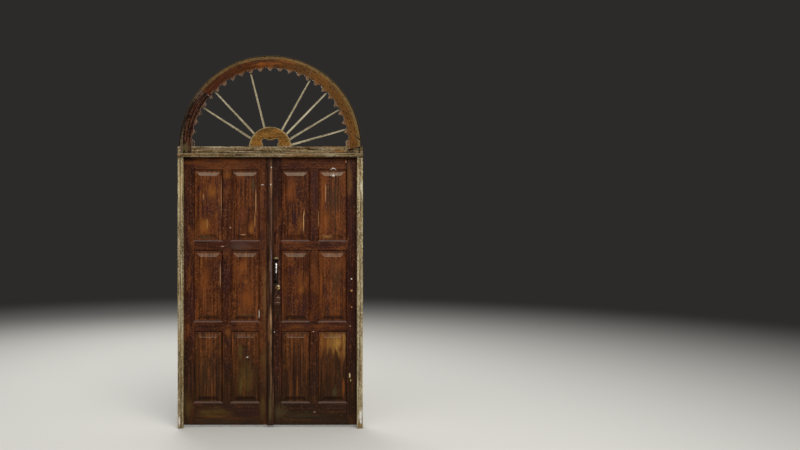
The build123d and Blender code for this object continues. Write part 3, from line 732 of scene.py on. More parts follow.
JAMB_MARKS = marks_of(
    (740, 100, 12, 55, 100, WHITE, 1.2),
    (736, 128, 7, 12, 100, WHITE, 0.4),
    (744, 58, 7, 18, 100, WHITE, 0.4),
    (-744, 60, 10, 40, 80, CHALK, 0.8),
    (744, 1985, 10, 40, 75, "#cfc7ae", 0.8),
    (722, 2225, 8, 16, 75, "#cfc7ae", 0.8),
    (-735, 2000, 16, 260, 50, "#a98a4c"),
    (-738, 900, 14, 240, 45, "#c9c2a4"),
    (735, 1300, 12, 300, 40, "#8f7c58"),
    (730, 500, 14, 200, 50, "#5f4c30"),
)

# Old varnish over red-brown cedar: in slow clouds the sun has shifted it from plum to orange
VARNISH_AGE = (
    Layer("drift", 0.53, 0.66, 0.45, "#6b3a18"),
    Layer("drift", 0.47, 0.34, 0.55, "#341a18"),
    Layer("mottle", 0.56, 0.7, 0.38, "#815639"),
    Layer("mottle", 0.43, 0.3, 0.6, "#200e08"),
)
# How much paler, or below 0 darker, some boards are than their neighbours
TINTS = {
    "right_meeting_stile": -1.6,
    "left_hinge_stile": -0.7,
    "right_hinge_stile": -1.3,
    "left_top_rail": 1.0,
    "right_top_rail": 0.3,
    "left_bottom_rail": 0.2,
    "right_bottom_rail": -0.8,
    "left_meeting_stile": 0.8,
    "left_panel_3": -0.5,
    "left_panel_4": -0.3,
    "right_panel_3": -0.5,
    "right_panel_4": -1.1,
    "right_panel_5": 0.1,
    "right_panel_6": -1.3,
}
# Dark varnish: nearly black where it is thick, red where the light gets through it
LEAF_VARNISH = Wood(
    name="old_varnished_cedar_frame",
    tones=("#291008", "#3d1d0e", "#4a240f", "#5a3118"),
    dust_and_sheen="#77645a",
    grime_and_shade="#180d07",
    dust_sheen_and_shade=0.35,
    grained=0.28,
    layers=(
        *VARNISH_AGE,
        Layer("worn", 0.6, 0.7, 0.5, "#6c3f1c"),
        # Darker towards the bottom
        Layer("mottled_height", 0.85, 0.1, 0.6, "#221a0e"),
    ),
    marks=FRAME_MARKS,
)
# Thinner varnish on the panels, bleached to orange: the fields glow beside the darker frame
PANEL_VARNISH = Wood(
    name="old_varnished_cedar_panel",
    tones=("#38190b", "#4f270f", "#5f3214", "#73411d"),
    # A pale dusting with a painted sheen on the panels' top bevels
    dust_and_sheen="#8f7a66",
    grime_and_shade="#190d07",
    streak=0.012,
    run=0.42,
    dust_sheen_and_shade=0.70,
    grained=0.36,
    layers=(
        *VARNISH_AGE,
        Layer("worn", 0.58, 0.7, 0.6, "#7f4a1c"),
        Layer("mottled_height", 1.05, 0.4, 0.38, "#412b15"),
        Layer("mottled_height", 0.9, 0.1, 0.62, "#1d140a"),
    ),
    marks=PANEL_MARKS,
)
# Varnished cedar on the strip, which stands proud where hands rub it: grey-brown, with a pale band that is
# partly wear and partly a painted highlight, and painted shadow along its edges
STRIP_VARNISH = Wood(
    name="rubbed_varnish_on_the_strip",
    tones=("#26130a", "#3e2415", "#51331f", "#6a4a33"),
    dust_and_sheen="#7c6a5a",
    grime_and_shade="#180e08",
    streak=0.008,
    run=0.5,
    grained=0.4,
    layers=(Layer("worn", 0.58, 0.68, 0.7, "#7e6146"), Layer("mottled_height", 0.6, 0.1, 0.5, "#2a2216")),
    marks=STRIP_MARKS,
)
# Bare softwood gone grey in the sun, open along the grain, with golden wood where it is sheltered
FRAME_WOOD = Wood(
    name="sun_greyed_pine",
    tones=("#2c1d0b", "#584527", "#7b694c", "#aea07e"),
    dust_and_sheen="#85795e",
    grime_and_shade="#221708",
    streak=0.007,
    run=0.36,
    dust_sheen_and_shade=0.4,
    roughness=0.85,
    relief=0.0011,
    cracked=0.8,
    layers=(
        Layer("drift", 0.52, 0.64, 0.6, "#74542a"),
        Layer("worn", 0.6, 0.7, 0.6, "#6b4c26"),
        Layer("streaks", 0.56, 0.66, 0.5, "#a2937a"),
        Layer("mottle", 0.56, 0.68, 0.5, "#a08468"),
        Layer("mottle", 0.45, 0.33, 0.6, "#36240f"),
    ),
    marks=TRANSOM_MARKS,
)
# The same pine on the jambs, which catch more sun and splashes of lime: the palest of the frame
JAMB_WOOD = Wood(
    name="sun_bleached_pine_jamb",
    tones=("#4e3b22", "#7d6a49", "#9f8d6b", "#c4b896"),
    dust_and_sheen="#9c9075",
    grime_and_shade="#2c2013",
    streak=0.006,
    run=0.5,
    dust_sheen_and_shade=0.4,
    roughness=0.85,
    relief=0.0011,
    cracked=0.8,
    layers=(
        Layer("drift", 0.52, 0.64, 0.5, "#8b7040"),
        Layer("worn", 0.6, 0.7, 0.5, "#7b6338"),
        Layer("mottle", 0.54, 0.66, 0.5, "#bdb79c"),
        Layer("mottle", 0.45, 0.33, 0.6, "#544a31"),
    ),
    marks=JAMB_MARKS,
)
# The same pine in the bent head, painted darker as the shade that the wall casts over it, its grain swept
# round with the bend
ARCH_WOOD = Wood(
    name="sun_greyed_pine_bent",
    tones=("#2c1c0d", "#47341d", "#5d492c", "#786a4c"),
    dust_and_sheen="#6e6148",
    grime_and_shade="#1a1008",
    grain=Grain.SWEPT,
    streak=0.008,
    run=0.4,
    dust_sheen_and_shade=0.3,
    roughness=0.85,
    cracked=0.7,
    # A near-black line on the outermost front rim: painted shadow in the gap to the wall
    layers=(Layer("shadow_gap_rim", 0.734, 0.7375, 0.85, "#120a05"),),
)
# Sawn boards under faded varnish: red-brown on the crown, golden to the right, bleached at the teeth
FRET_RED = Wood(
    name="faded_varnish_on_the_fretwork",
    tones=("#2a1104", "#441e07", "#532908", "#683a12"),
    dust_and_sheen="#665030",
    grime_and_shade="#150b04",
    grain=Grain.SWEPT,
    streak=0.011,
    run=0.34,
    dust_sheen_and_shade=0.3,
    roughness=0.65,
    relief=0.0008,
    cracked=0.6,
    layers=(
        Layer("clouds", 0.53, 0.64, 0.5, "#84440f"),
        Layer("clouds", 0.47, 0.37, 0.65, "#250f05"),
        Layer("side", -0.15, 0.45, 0.7, "#5d3f18"),
        Layer("side", -0.2, -0.46, 0.7, "#38150c"),
        Layer("worn", 0.6, 0.7, 0.5, "#6a4a26"),
        Layer("rim", 0.71, 0.722, 0.6, "#66542e"),
        Layer("rim", 0.654, 0.636, 0.55, "#80674f"),
        Layer("edge", 0.99, 0.9, 0.65, "#957c66"),
        Layer("mottle", 0.46, 0.34, 0.7, "#1c0e06"),
    ),
)
# A varnished board split into dark strands, the outermost of them gone grey like straw
FRET_SPLIT = Wood(
    name="split_strands_of_the_fretwork",
    tones=("#0a0302", "#1c0905", "#32140b", "#64432e"),
    dust_and_sheen="#4c3626",
    grime_and_shade="#0c0602",
    grain=Grain.SWEPT,
    fibre=0.002,
    streak=0.007,
    run=0.5,
    dust_sheen_and_shade=0.3,
    roughness=0.8,
    relief=0.0014,
    cracked=0.85,
    layers=(
        Layer("rim", 0.713, 0.719, 0.75, "#75654c"),
        Layer("rim", 0.656, 0.638, 0.6, "#7c6959"),
        Layer("edge", 0.99, 0.9, 0.7, "#948070"),
        Layer("streaks", 0.53, 0.45, 0.9, "#120704"),
        Layer("mottle", 0.48, 0.36, 0.8, "#120704"),
    ),
    marks=marks_of((-690, 2300, 35, 36, 75, "#5f5133")),
)
# A sawn board of golden pine, rubbed smooth, its rim bleached and its face clouded with brown
HUB_WOOD = Wood(
    name="golden_worn_hub",
    tones=("#3c2207", "#5c3a11", "#6f4a1a", "#84602c"),
    dust_and_sheen="#75603c",
    grime_and_shade="#241607",
    streak=0.012,
    run=0.25,
    dust_sheen_and_shade=0.4,
    roughness=0.7,
    relief=0.0009,
    cracked=0.5,
    worn_edge=0.009,
    layers=(
        Layer("clouds", 0.52, 0.62, 0.6, "#80551f"),
        Layer("clouds", 0.48, 0.38, 0.6, "#4c3a12"),
        Layer("mottle", 0.45, 0.33, 0.7, "#38220a"),
        Layer("mottle", 0.55, 0.68, 0.5, "#97784a"),
        Layer("rim", 0.15, 0.16, 0.5, "#857348"),
        Layer("edge", 0.99, 0.9, 0.85, "#b3a17e"),
    ),
)
# Torn wood, paler than the weathered face because it broke later
SPLINTER_WOOD = Wood(
    name="torn_pale_wood",
    tones=("#4a3420", "#6e5436", "#83694a", "#a08763"),
    dust_and_sheen="#7a6a50",
    grime_and_shade="#2a1c10",
    grain=Grain.SWEPT,
    roughness=0.85,
)
# Split laths left bare, the palest wood on the door
STICK_WOOD = Wood(
    name="bare_split_laths",
    tones=("#6b5f46", "#94896d", "#a69b80", "#c2b89d"),
    dust_and_sheen="#a59d86",
    grime_and_shade="#3d301d",
    streak=0.004,
    run=0.4,
    corner_shade=0.45,
    roughness=0.85,
    relief=0.0007,
    cracked=0.4,
    layers=(Layer("mottle", 0.42, 0.32, 0.6, "#57482e"),),
)
# Marks on the handle's plate: a brassy worn head, and painted highlights on the two raised bands, brighter
# on their right
PLATE_MARKS = marks_of(
    (47, 1396, 21, 7, 85, "#9a8a56"),
    (64, 1069.5, 16, 4, 75, "#8d7466"),
    (64, 1026.5, 16, 4, 75, "#8d7466"),
    (40, 1026.5, 20, 3, 45, "#6d5950"),
    (74, 1200, 6, 20, 50, "#6b4a33"),
)
# Marks on the grip: the bare polished length under the fingers, and old brass colour on its upper end
GRIP_MARKS = marks_of(
    (49, 1315, 12, 42, 100, "#b9b2ac"),
    (47, 1392, 22, 8, 80, "#6f5f3d"),
)
# Marks on the lock's brass: painted shade in brown on the left, a painted highlight at the top right, and
# near-black painted shade along the key's slot
BRASS_MARKS = marks_of(
    (50, 1150, 13, 18, 75, "#4c3420"),
    (71, 1165, 10, 10, 85, "#e6d6b4"),
    (57, 1147, 4.5, 4.5, 90, PAINTED_SHADOW),
    (61, 1153, 4.5, 4.5, 90, PAINTED_SHADOW),
    (65, 1158, 4, 4, 80, PAINTED_SHADOW),
)
# Iron under old black paint gone brown: dull, with a little shine where it is bare
BLACKENED_IRON = Metal(
    "blackened_iron_plate", "#3a2015", "#24130d", "#553725", 0.1, 0.6, 0.03, gloss=0.1, marks=PLATE_MARKS
)
# The same iron polished by hands: it mirrors the light as a white line along the bow
HANDLED_IRON = Metal(
    "iron_polished_by_hands", "#2a2521", "#1d1916", "#37302b", 1.0, 0.24, 0.03, 0.02, 0.0, marks=GRIP_MARKS
)
# Brass gone brown in its hollows and yellow where keys rub it
OLD_BRASS = Metal("tarnished_brass", "#a58457", "#6b4f2e", "#cfae78", 1.0, 0.34, 0.006, marks=BRASS_MARKS)
# Sheet steel with baked black enamel: even and half dull, with no metal showing
LOCK_PAINT = Metal("black_japanned_steel", "#1f1c1a", "#2f2620", "#3a3632", 0.3, 0.45, 0.03)
# Bare steel of hinges and bolts: grey and half bright, clouded with brown where it starts to rust
AGED_STEEL = Metal("aged_steel", "#6a645c", "#4a3a2c", "#8b867e", 1.0, 0.38, 0.014)
# Drawn steel of nails and screws under thin rust: brown, dull, greyer on its high places
RUSTY_STEEL = Metal("rusty_nail_steel", "#4b3526", "#35221a", "#6d5b4c", 0.6, 0.6, 0.006)

# Pieces


@cache
def finish_of(finish: Wood | Metal) -> Material:
    """Gives the material of a finish, built on its first use."""
    return finish.material()


def dress(piece: Piece, finish: Wood | Metal) -> None:
    """Gives a new piece, or a solid that stays, its finish, and reports it.

    Args:
        piece: The piece or the solid.
        finish: Its wood or metal.
    """
    piece.data.materials.clear()
    piece.data.materials.append(finish_of(finish))
    LOG.info("%s: %s", piece.name, finish.name)


def seat(piece: Piece, node: str, finish: Wood | Metal) -> None:
    """Dresses a new piece and makes it ride where a solid does.

    Args:
        piece: The finished piece.
        node: The solid.
        finish: The piece's wood or metal.
    """
    dress(piece, finish)
    body, slot = BODY_OF[node], SLOT_OF[node]
    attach(piece, body)


def merged_copy(node: str, name: str, flat: bool) -> Piece:
    """Copies a solid's loose triangles into a new piece and merges them.

    Args:
        node: The solid.
        name: The piece's name.
        flat: True to melt the triangles of each flat face into one face.

    Returns:
        The piece.
    """
    piece = new_object(name, NODES[node].data.copy())
    select_only(piece)
    bpy.ops.object.mode_set(mode="EDIT")
    bpy.ops.mesh.select_all(action="SELECT")
    bpy.ops.mesh.customdata_custom_splitnormals_clear()
    bpy.ops.mesh.remove_doubles(threshold=MERGE)
    if flat:
        bpy.ops.mesh.dissolve_limited(angle_limit=radians(FLAT_ANGLE))
    bpy.ops.object.mode_set(mode="OBJECT")
    return piece


def aged_board(
    node: str,
    finish: Wood,
    arris: float,
    along: Point,
    smooth: float = FLAT_SMOOTH,
    blades: tuple[Piece, ...] = (),
) -> None:
    """Stands in for a board with a copy whose arrises are worn round and whose grain is its own.

    Args:
        node: The board's solid.
        finish: Its wood.
        arris: Width of the worn arris in metres.
        along: Unit vector along the fibres.
        smooth: Edges turning less than this many degrees are shaded smooth.
        blades: Blades taken out of the board before its arrises are worn.
    """
    piece = merged_copy(node, f"{node}_aged", True)
    for blade in blades:
        carve(piece, blade)
    worn = {"width": arris, "segments": 2, "limit_method": "ANGLE", "angle_limit": radians(ARRIS_ANGLE)}
    apply_modifier(piece, "BEVEL", **worn)
    settle(piece, f"{node}_aged", smooth)
    seed = random.Random(node)
    shift = Vector([seed.uniform(0, GRAIN_SPREAD) for _ in range(3)])
    run = Vector(along)
    across = Vector((0.0, 1.0, 0.0)).cross(run)
    grain = piece.data.attributes.new("grain", "FLOAT_VECTOR", "POINT")
    for vertex, value in zip(piece.data.vertices, grain.data):
        value.vector = Vector((vertex.co.dot(across), vertex.co.y, vertex.co.dot(run))) + shift
    tint = piece.data.attributes.new("tint", "FLOAT", "POINT")
    tone = TINTS.get(node, seed.uniform(-TINT_SPREAD, TINT_SPREAD))
    tint.data.foreach_set("value", [tone] * len(piece.data.vertices))
    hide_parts(node)
    seat(piece, node, finish)


def polished(node: str, finish: Metal, cell: float, passes: int) -> None:
    """Stands in for a metal solid with an evenly meshed copy, over which a highlight runs unbroken.

    Args:
        node: The solid.
        finish: Its metal.
        cell: Size of the copy's cells in metres.
        passes: How often the cells are smoothed.
    """
    piece = merged_copy(node, f"{node}_polished", False)
    apply_modifier(piece, "REMESH", mode="VOXEL", voxel_size=cell, use_smooth_shade=True)
    apply_modifier(piece, "SMOOTH", factor=0.5, iterations=passes)
    settle(piece, f"{node}_polished", POLISHED_SMOOTH)
    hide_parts(node)
    seat(piece, node, finish)


@dataclass(frozen=True)
class Fixings:
    """The heads of the screws or nails in one face: one is modelled, and copied to each place.

    y is the face's depth. The rest is in parts of a head's radius: its thickness, how far each of its
    rims is drawn in and raised, and the sides of its slot and how high the slot's middle lies.
    """

    name: str
    node: str
    y: float
    facing: Facing
    places: tuple[Spot, ...]
    radius: float = 0.0036
    slotted: bool = True
    thickness: float = 0.5
    rims: tuple[Spot, ...] = ((0.32, 0.16), (0.30, 0.06))
    slot: Point = (3.0, 0.5, 0.3)
    slot_height: float = 0.45

    def build(self) -> None:
        """Copies the head to each place, each turned its own way."""
        seed = random.Random(self.name)
        stands = [((x, self.y, z), (0.0, seed.uniform(0, pi), 0.0), (1.0, 1.0, 1.0)) for x, z in self.places]
        seat(gather(self.name, self.head(), stands), self.node, RUSTY_STEEL)

    def head(self) -> Piece:
        """Models one head from a short cylinder.

        Returns:
            The head at the origin, domed a little, and cut across if it is a screw's.
        """
        select_only()
        out = self.facing.value
        disc = {"vertices": 14, "radius": self.radius, "depth": self.radius * self.thickness}
        bpy.ops.mesh.primitive_cylinder_add(**disc, rotation=(radians(90) * -out, 0.0, 0.0))
        head = bpy.context.object
        bpy.ops.object.transform_apply(location=False, rotation=True, scale=False)
        for face in head.data.polygons:
            face.select = face.normal.y * out > 0.9
        bpy.ops.object.mode_set(mode="EDIT")
        bpy.ops.mesh.select_mode(type="FACE")
        for drawn, raised in self.rims:
            bpy.ops.mesh.inset(thickness=self.radius * drawn)
            bpy.ops.transform.translate(value=(0.0, out * self.radius * raised, 0.0))
        bpy.ops.object.mode_set(mode="OBJECT")
        if self.slotted:
            middle = (0.0, out * self.radius * self.slot_height, 0.0)
            bpy.ops.mesh.primitive_cube_add(size=1.0, location=middle)
            slot = bpy.context.object
            slot.scale = [self.radius * part for part in self.slot]
            carve(head, slot)
        return head


@dataclass(frozen=True)
class Cracks:
    """Drying cracks in a face that looks out of the door, each opened by a lens-shaped blade.

    y is the face's depth. rows holds the middle across, the middle up and the length of each crack.
    turn is 0 where they run up and 90 where they lie level. width and depth are at a crack's middle.
    """

    y: float
    turn: float
    width: float
    depth: float
    rows: tuple[Point, ...]

    def blades(self) -> tuple[Piece, ...]:
        """Makes the blades.

        Returns:
            A blade for each crack.
        """
        made = []
        for x, z, run in self.rows:
            select_only()
            middle = (x, self.y, z)
            bpy.ops.mesh.primitive_uv_sphere_add(segments=8, ring_count=8, radius=1.0, location=middle)
            blade = bpy.context.object
            blade.scale = (self.width / 2, self.depth, run / 2)
            blade.rotation_euler = (0.0, radians(self.turn), 0.0)
            bpy.ops.object.transform_apply(location=True, rotation=True, scale=True)
            made.append(blade)
        return tuple(made)


# Sub-assemblies


@dataclass
class Leaf:
    """One leaf: stiles, rails, muntins and raised panels, each board with its own grain."""

    side: Side
    arris: float = 0.0012
    panel_arris: float = 0.0014
    strip_arris: float = 0.0015

    def build(self) -> None:
        """Dresses every board of the leaf."""
        for member in ("hinge_stile", "meeting_stile", "muntin_1", "muntin_2", "muntin_3"):
            aged_board(f"{self.side.value}_{member}", LEAF_VARNISH, self.arris, UPRIGHT)
        for member in ("bottom_rail", "mid_rail_1", "mid_rail_2", "top_rail"):
            aged_board(f"{self.side.value}_{member}", LEAF_VARNISH, self.arris, LEVEL)
        for number in range(1, 7):
            aged_board(f"{self.side.value}_panel_{number}", PANEL_VARNISH, self.panel_arris, UPRIGHT)
        if self.side is Side.LEFT:
            aged_board("cover_strip", STRIP_VARNISH, self.strip_arris, UPRIGHT)


@dataclass
class Frame:
    """Jambs, transom and the bent head of the frame, in greyed wood with drying cracks."""

    arris: float = 0.0022
    left_jamb_cracks: Cracks = Cracks(
        FRAME_FRONT, 0, 0.0022, 0.006, ((-0.7335, 1.72, 0.42), (-0.7450, 0.86, 0.55), (-0.7220, 0.31, 0.24))
    )
    right_jamb_cracks: Cracks = Cracks(
        FRAME_FRONT, 0, 0.0022, 0.006, ((0.7350, 2.02, 0.30), (0.7440, 1.18, 0.48), (0.7270, 0.52, 0.36))
    )
    transom_rows: tuple[Point, ...] = (
        (-0.46, 2.289, 0.38),
        (-0.12, 2.272, 0.30),
        (0.27, 2.291, 0.44),
        (0.50, 2.275, 0.26),
        (-0.60, 2.268, 0.18),
    )
    transom_cracks: Cracks = Cracks(FRAME_FRONT, 90, 0.0024, 0.007, transom_rows)
    drip_cracks: Cracks = Cracks(DRIP_FRONT, 90, 0.0022, 0.005, ((-0.33, 2.236, 0.36), (0.38, 2.233, 0.30)))

    def build(self) -> None:
        """Dresses the boards of the frame."""
        aged_board("left_jamb", JAMB_WOOD, self.arris, UPRIGHT, blades=self.left_jamb_cracks.blades())
        aged_board("right_jamb", JAMB_WOOD, self.arris, UPRIGHT, blades=self.right_jamb_cracks.blades())
        blades = self.transom_cracks.blades() + self.drip_cracks.blades()
        aged_board("transom", FRAME_WOOD, self.arris, LEVEL, blades=blades)
        for node in ("arch_left", "arch_right"):
            aged_board(node, ARCH_WOOD, self.arris, UPRIGHT, CURVED_SMOOTH)


@dataclass
class Fanlight:
    """Scalloped fretwork, the sunburst's hub and its seven sticks.

    splinter holds the radius of its foot and of its tip, and its length. torn holds each splinter's
    place across, place up and lean. splits holds the radius, the first and last angle and the width of
    each split between the strands of the left-hand board.
    """

    worn_arris: float = 0.0032
    hub_arris: float = 0.0055
    stick_arris: float = 0.0012
    stick_angles: tuple[float, ...] = (147.1, 133.0, 104.1, 60.7, 45.9, 30.9, 15.9)
    stick_nail_reaches: Spot = (0.153, 0.668)
    rim_nail_reach: float = 0.716
    rim_nail_angles: tuple[float, ...] = (6, 24, 42, 56, 66, 84, 98, 112, 126, 137, 144, 158, 174)
    nail_radius: float = 0.0028
    splinter: Point = (0.0024, 0.0003, 0.03)
    splinter_inset: float = 0.004
    torn: tuple[Point, ...] = (
        (0.652, 2.291, 172),
        (0.664, 2.293, 184),
        (0.679, 2.296, 168),
        (0.690, 2.299, 190),
        (0.704, 2.303, 176),
        (0.716, 2.306, 186),
        (-0.548, 2.752, 232),
        (-0.530, 2.738, 226),
        (-0.512, 2.722, 238),
    )
    split_depth: float = 0.018
    splits: tuple[tuple[float, float, float, float], ...] = (
        (0.708, 146.0, 167.0, 0.0030),
        (0.693, 150.0, 179.0, 0.0024),
        (0.675, 143.5, 160.0, 0.0026),
        (0.722, 158.0, 180.5, 0.0028),
    )

    def build(self) -> None:
        """Dresses the fanlight's pieces."""
        aged_board("fretwork_left", FRET_SPLIT, self.worn_arris, UPRIGHT, CURVED_SMOOTH, self.split_blades())
        aged_board("fretwork_crown", FRET_RED, self.worn_arris, UPRIGHT, CURVED_SMOOTH)
        aged_board("fretwork_right", FRET_RED, self.worn_arris, UPRIGHT, CURVED_SMOOTH)
        aged_board("sunburst_hub", HUB_WOOD, self.hub_arris, LEVEL, CURVED_SMOOTH)
        for number, angle in enumerate(self.stick_angles, start=1):
            across, up = on_ray(angle, 1.0, 0.0)
            aged_board(f"sunburst_stick_{number}", STICK_WOOD, self.stick_arris, (across, 0.0, up))
        self.nails()
        self.splinters()

    def nails(self) -> None:
        """Drives small nails through the hub and the fretwork into the sticks, and round the rim."""
        sticks, reaches = self.stick_angles, self.stick_nail_reaches
        places = [on_ray(angle, reach, STICK_FOCUS) for angle in sticks for reach in reaches]
        places += [on_ray(angle, self.rim_nail_reach, SPRINGING) for angle in self.rim_nail_angles]
        face = ("fretwork_crown", FRAME_FRONT, Facing.OUT)
        Fixings("fanlight_nails", *face, tuple(places), self.nail_radius, slotted=False).build()

    def splinters(self) -> None:
        """Models one torn splinter and copies it to the broken leg and the sprung joint."""
        select_only()
        foot, tip, length = self.splinter
        bpy.ops.mesh.primitive_cone_add(vertices=5, radius1=foot, radius2=tip, depth=length)
        shard = bpy.context.object
        bpy.ops.object.mode_set(mode="EDIT")
        bpy.ops.mesh.select_all(action="SELECT")
        bpy.ops.mesh.subdivide(number_cuts=2, fractal=0.6, seed=4)
        bpy.ops.object.mode_set(mode="OBJECT")
        seed = random.Random("splinters")
        stands = []
        for x, z, lean in self.torn:
            depth = seed.uniform(FRAME_FRONT + self.splinter_inset, FRET_BACK - self.splinter_inset)
            turn = (seed.uniform(-0.1, 0.1), radians(lean), seed.uniform(0, pi))
            stands.append(((x, depth, z), turn, (1.0, 1.0, seed.uniform(0.5, 1.0))))
        seat(gather("torn_splinters", shard, stands), "fretwork_right", SPLINTER_WOOD)

    def split_blades(self) -> tuple[Piece, ...]:
        """Makes curved blades that open the splits of the left-hand board along its strands.

        Returns:
            A blade for each split.
        """
        made = []
        for radius, start, end, width in self.splits:
            select_only()
            bpy.ops.mesh.primitive_plane_add(size=1.0)
            blade = bpy.context.object
            across, up = on_ray(start, radius, SPRINGING)
            blade.scale = (width, self.split_depth, 1.0)
            blade.rotation_euler = (0.0, -radians(start), 0.0)
            blade.location = (across, FRAME_FRONT, up)
            bpy.ops.object.transform_apply(location=True, rotation=True, scale=True)
            bpy.ops.object.mode_set(mode="EDIT")
            bpy.ops.mesh.select_all(action="SELECT")
            sweep, centre = -radians(end - start), (0.0, 0.0, SPRINGING)
            bpy.ops.mesh.spin(steps=14, angle=sweep, center=centre, axis=(0.0, 1.0, 0.0))
            bpy.ops.mesh.select_all(action="SELECT")
            bpy.ops.mesh.normals_make_consistent(inside=False)
            bpy.ops.object.mode_set(mode="OBJECT")
            made.append(blade)
        return tuple(made)


@dataclass
class Ironwork:
    """Handle, lock, hinges and surface bolts, with their screws.

    The places of screws and nails are across and up, in metres.
    """

    grip_cell: float = 0.0009
    grip_passes: int = 8
    plate_screws: tuple[Spot, ...] = ((0.056, 1.3955), (0.056, 1.010))
    case_screws: tuple[Spot, ...] = ((0.0135, 1.083), (0.0135, 1.185), (0.0815, 1.083), (0.0815, 1.185))
    keeper_screws: tuple[Spot, ...] = ((-0.0205, 1.092), (-0.0205, 1.156))
    guide_columns: Spot = (-0.0605, -0.0385)
    guide_rows: tuple[float, ...] = (0.080, 0.167, 0.254, 1.995, 2.082, 2.169)
    strip_nails: tuple[Spot, ...] = tuple((0.0, 0.13 + 0.33 * step) for step in range(7))

    def build(self) -> None:
        """Dresses the metal solids and drives the screws and nails."""
        dress(NODES["handle_plate"], BLACKENED_IRON)
        polished("handle_grip", HANDLED_IRON, self.grip_cell, self.grip_passes)
        for node in ("lock_cylinder", "cylinder_plug"):
            dress(NODES[node], OLD_BRASS)
        for node in ("lock_case", "lock_keeper"):
            dress(NODES[node], LOCK_PAINT)
        hinges = ("left_hinge_plates", "right_hinge_plates", "frame_hinge_plates")
        for node in (*hinges, "deadbolt", "head_bolt", "foot_bolt", "bolt_guides"):
            dress(NODES[node], AGED_STEEL)
        guides = tuple((x, z) for x in self.guide_columns for z in self.guide_rows)
        groups = (
            ("handle_plate", PLATE_FRONT, Facing.OUT, self.plate_screws),
            ("lock_case", CASE_BACK, Facing.IN, self.case_screws),
            ("lock_keeper", KEEPER_BACK, Facing.IN, self.keeper_screws),
            ("bolt_guides", GUIDE_BACK, Facing.IN, guides),
            ("cover_strip", STRIP_FRONT, Facing.OUT, self.strip_nails),
        )
        for node, *face in groups:
            Fixings(f"{node}_fixings", node, *face, slotted=node != "cover_strip").build()


@dataclass(frozen=True)
class Lamp:
    """A soft rectangular lamp: where it stands, where it points, its size in metres and its watts."""

    name: str
    place: Point
    aim: Point
    size: Spot
    power: float

    def build(self) -> None:
        """Hangs the lamp, unseen by the camera."""
        light = bpy.data.lights.new(self.name, "AREA")
        light.shape = "RECTANGLE"
        light.size, light.size_y = self.size
        light.energy = self.power
        lamp = new_object(self.name, light)
        lamp.location = self.place
        lamp.rotation_euler = (Vector(self.aim) - Vector(self.place)).to_track_quat("-Z", "Y").to_euler()
        lamp.visible_camera = False


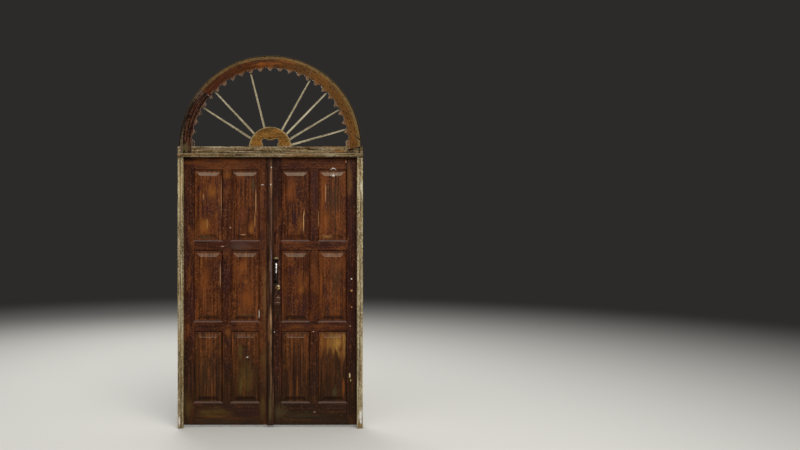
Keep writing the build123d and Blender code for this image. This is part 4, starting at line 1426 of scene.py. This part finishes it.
@dataclass
class Studio:
    """A pale floor, a plain darker ground behind it and soft lamps.

    The floor fades into the ground from fade_start to fade_end, in metres from the door.
    """

    horizon: str = "#2c2b2a"
    floor_colour: str = "#cdcac2"
    floor_radius: float = 60.0
    floor_roughness: float = 0.9
    fade_start: float = 2.2
    fade_end: float = 11.0
    sky: float = 0.55
    sky_colour: Colour = (0.95, 0.97, 1.0, 1.0)
    camera_place: Point = (0.080, -5.50, 1.64)
    lens: float = 30.0
    sensor: float = 36.0
    shift: Spot = (0.15, 0.004)
    lamps: tuple[Lamp, ...] = (
        Lamp("front_softbox", (2.4, -6.0, 4.6), (0.0, 0.0, 1.3), (5.0, 3.0), 305.0),
        Lamp("top_softbox", (0.4, -2.2, 7.0), (0.0, 0.0, 1.6), (5.0, 2.5), 105.0),
        Lamp("back_softbox", (-2.0, 5.5, 4.2), (0.0, 0.0, 1.3), (5.0, 3.0), 190.0),
        Lamp("low_lamp", (0.01, -7.0, 0.92), (0.0, 0.0, 1.3), (0.3, 0.5), 9.0),
    )

    def build(self) -> None:
        """Makes the camera, the lamps, the world and the floor."""
        self.camera()
        for lamp in self.lamps:
            lamp.build()
        self.world()
        self.floor()

    def camera(self) -> None:
        """Sets the camera level, at eye height, square to the door."""
        lens = bpy.data.cameras.new("camera")
        lens.lens = self.lens
        lens.sensor_width = self.sensor
        lens.shift_x, lens.shift_y = self.shift
        camera = new_object("camera", lens)
        camera.location = self.camera_place
        camera.rotation_euler = (radians(90), 0.0, 0.0)
        bpy.context.scene.camera = camera

    def world(self) -> None:
        """Sets an even sky for the light and a plain grey for what the camera sees."""
        world = bpy.data.worlds.new("studio")
        bpy.context.scene.world = world
        world.use_nodes = True
        tree = world.node_tree
        tree.nodes.clear()
        rays = add(tree, "ShaderNodeLightPath")
        seen = rays["Is Camera Ray"]
        for ray in ("Is Glossy Ray", "Is Transmission Ray"):
            seen = add(tree, "ShaderNodeMath", {0: seen, 1: rays[ray]}, operation="MAXIMUM")[0]
        sky = add(tree, "ShaderNodeBackground", {"Color": self.sky_colour, "Strength": self.sky})
        ground = add(tree, "ShaderNodeBackground", {"Color": linear(self.horizon), "Strength": 1.0})
        mix = add(tree, "ShaderNodeMixShader", {0: seen, 1: sky[0], 2: ground[0]})
        add(tree, "ShaderNodeOutputWorld", {"Surface": mix[0]})

    def floor(self) -> None:
        """Lays a round pale floor that fades into the ground colour far from the door."""
        select_only()
        bpy.ops.mesh.primitive_circle_add(vertices=96, radius=self.floor_radius, fill_type="NGON")
        floor = bpy.context.object
        floor.name = "floor"
        material, tree, surface = blank("studio_floor")
        surface.inputs["Base Color"].default_value = linear(self.floor_colour)
        surface.inputs["Roughness"].default_value = self.floor_roughness
        place = add(tree, "ShaderNodeTexCoord")["Object"]
        far = add(tree, "ShaderNodeVectorMath", {0: place}, operation="LENGTH")["Value"]
        places = {"Value": far, "From Min": self.fade_start, "From Max": self.fade_end}
        share = add(tree, "ShaderNodeMapRange", places, interpolation_type="SMOOTHSTEP")["Result"]
        ground = add(tree, "ShaderNodeEmission", {"Color": linear(self.horizon)})
        mix = add(tree, "ShaderNodeMixShader", {0: share, 1: surface.outputs[0], 2: ground[0]})
        tree.links.new(mix[0], tree.nodes["Material Output"].inputs["Surface"])
        floor.data.materials.append(material)


def main() -> None:
    """Builds the studio and every sub-assembly of the door in order."""
    logging.basicConfig(level=logging.INFO, format="%(name)s: %(message)s")
    bpy.context.scene.view_settings.view_transform = "Standard"
    Studio().build()
    for part in (Leaf(Side.LEFT), Leaf(Side.RIGHT), Frame(), Fanlight(), Ironwork()):
        part.build()


if __name__ == "__main__":
    main()
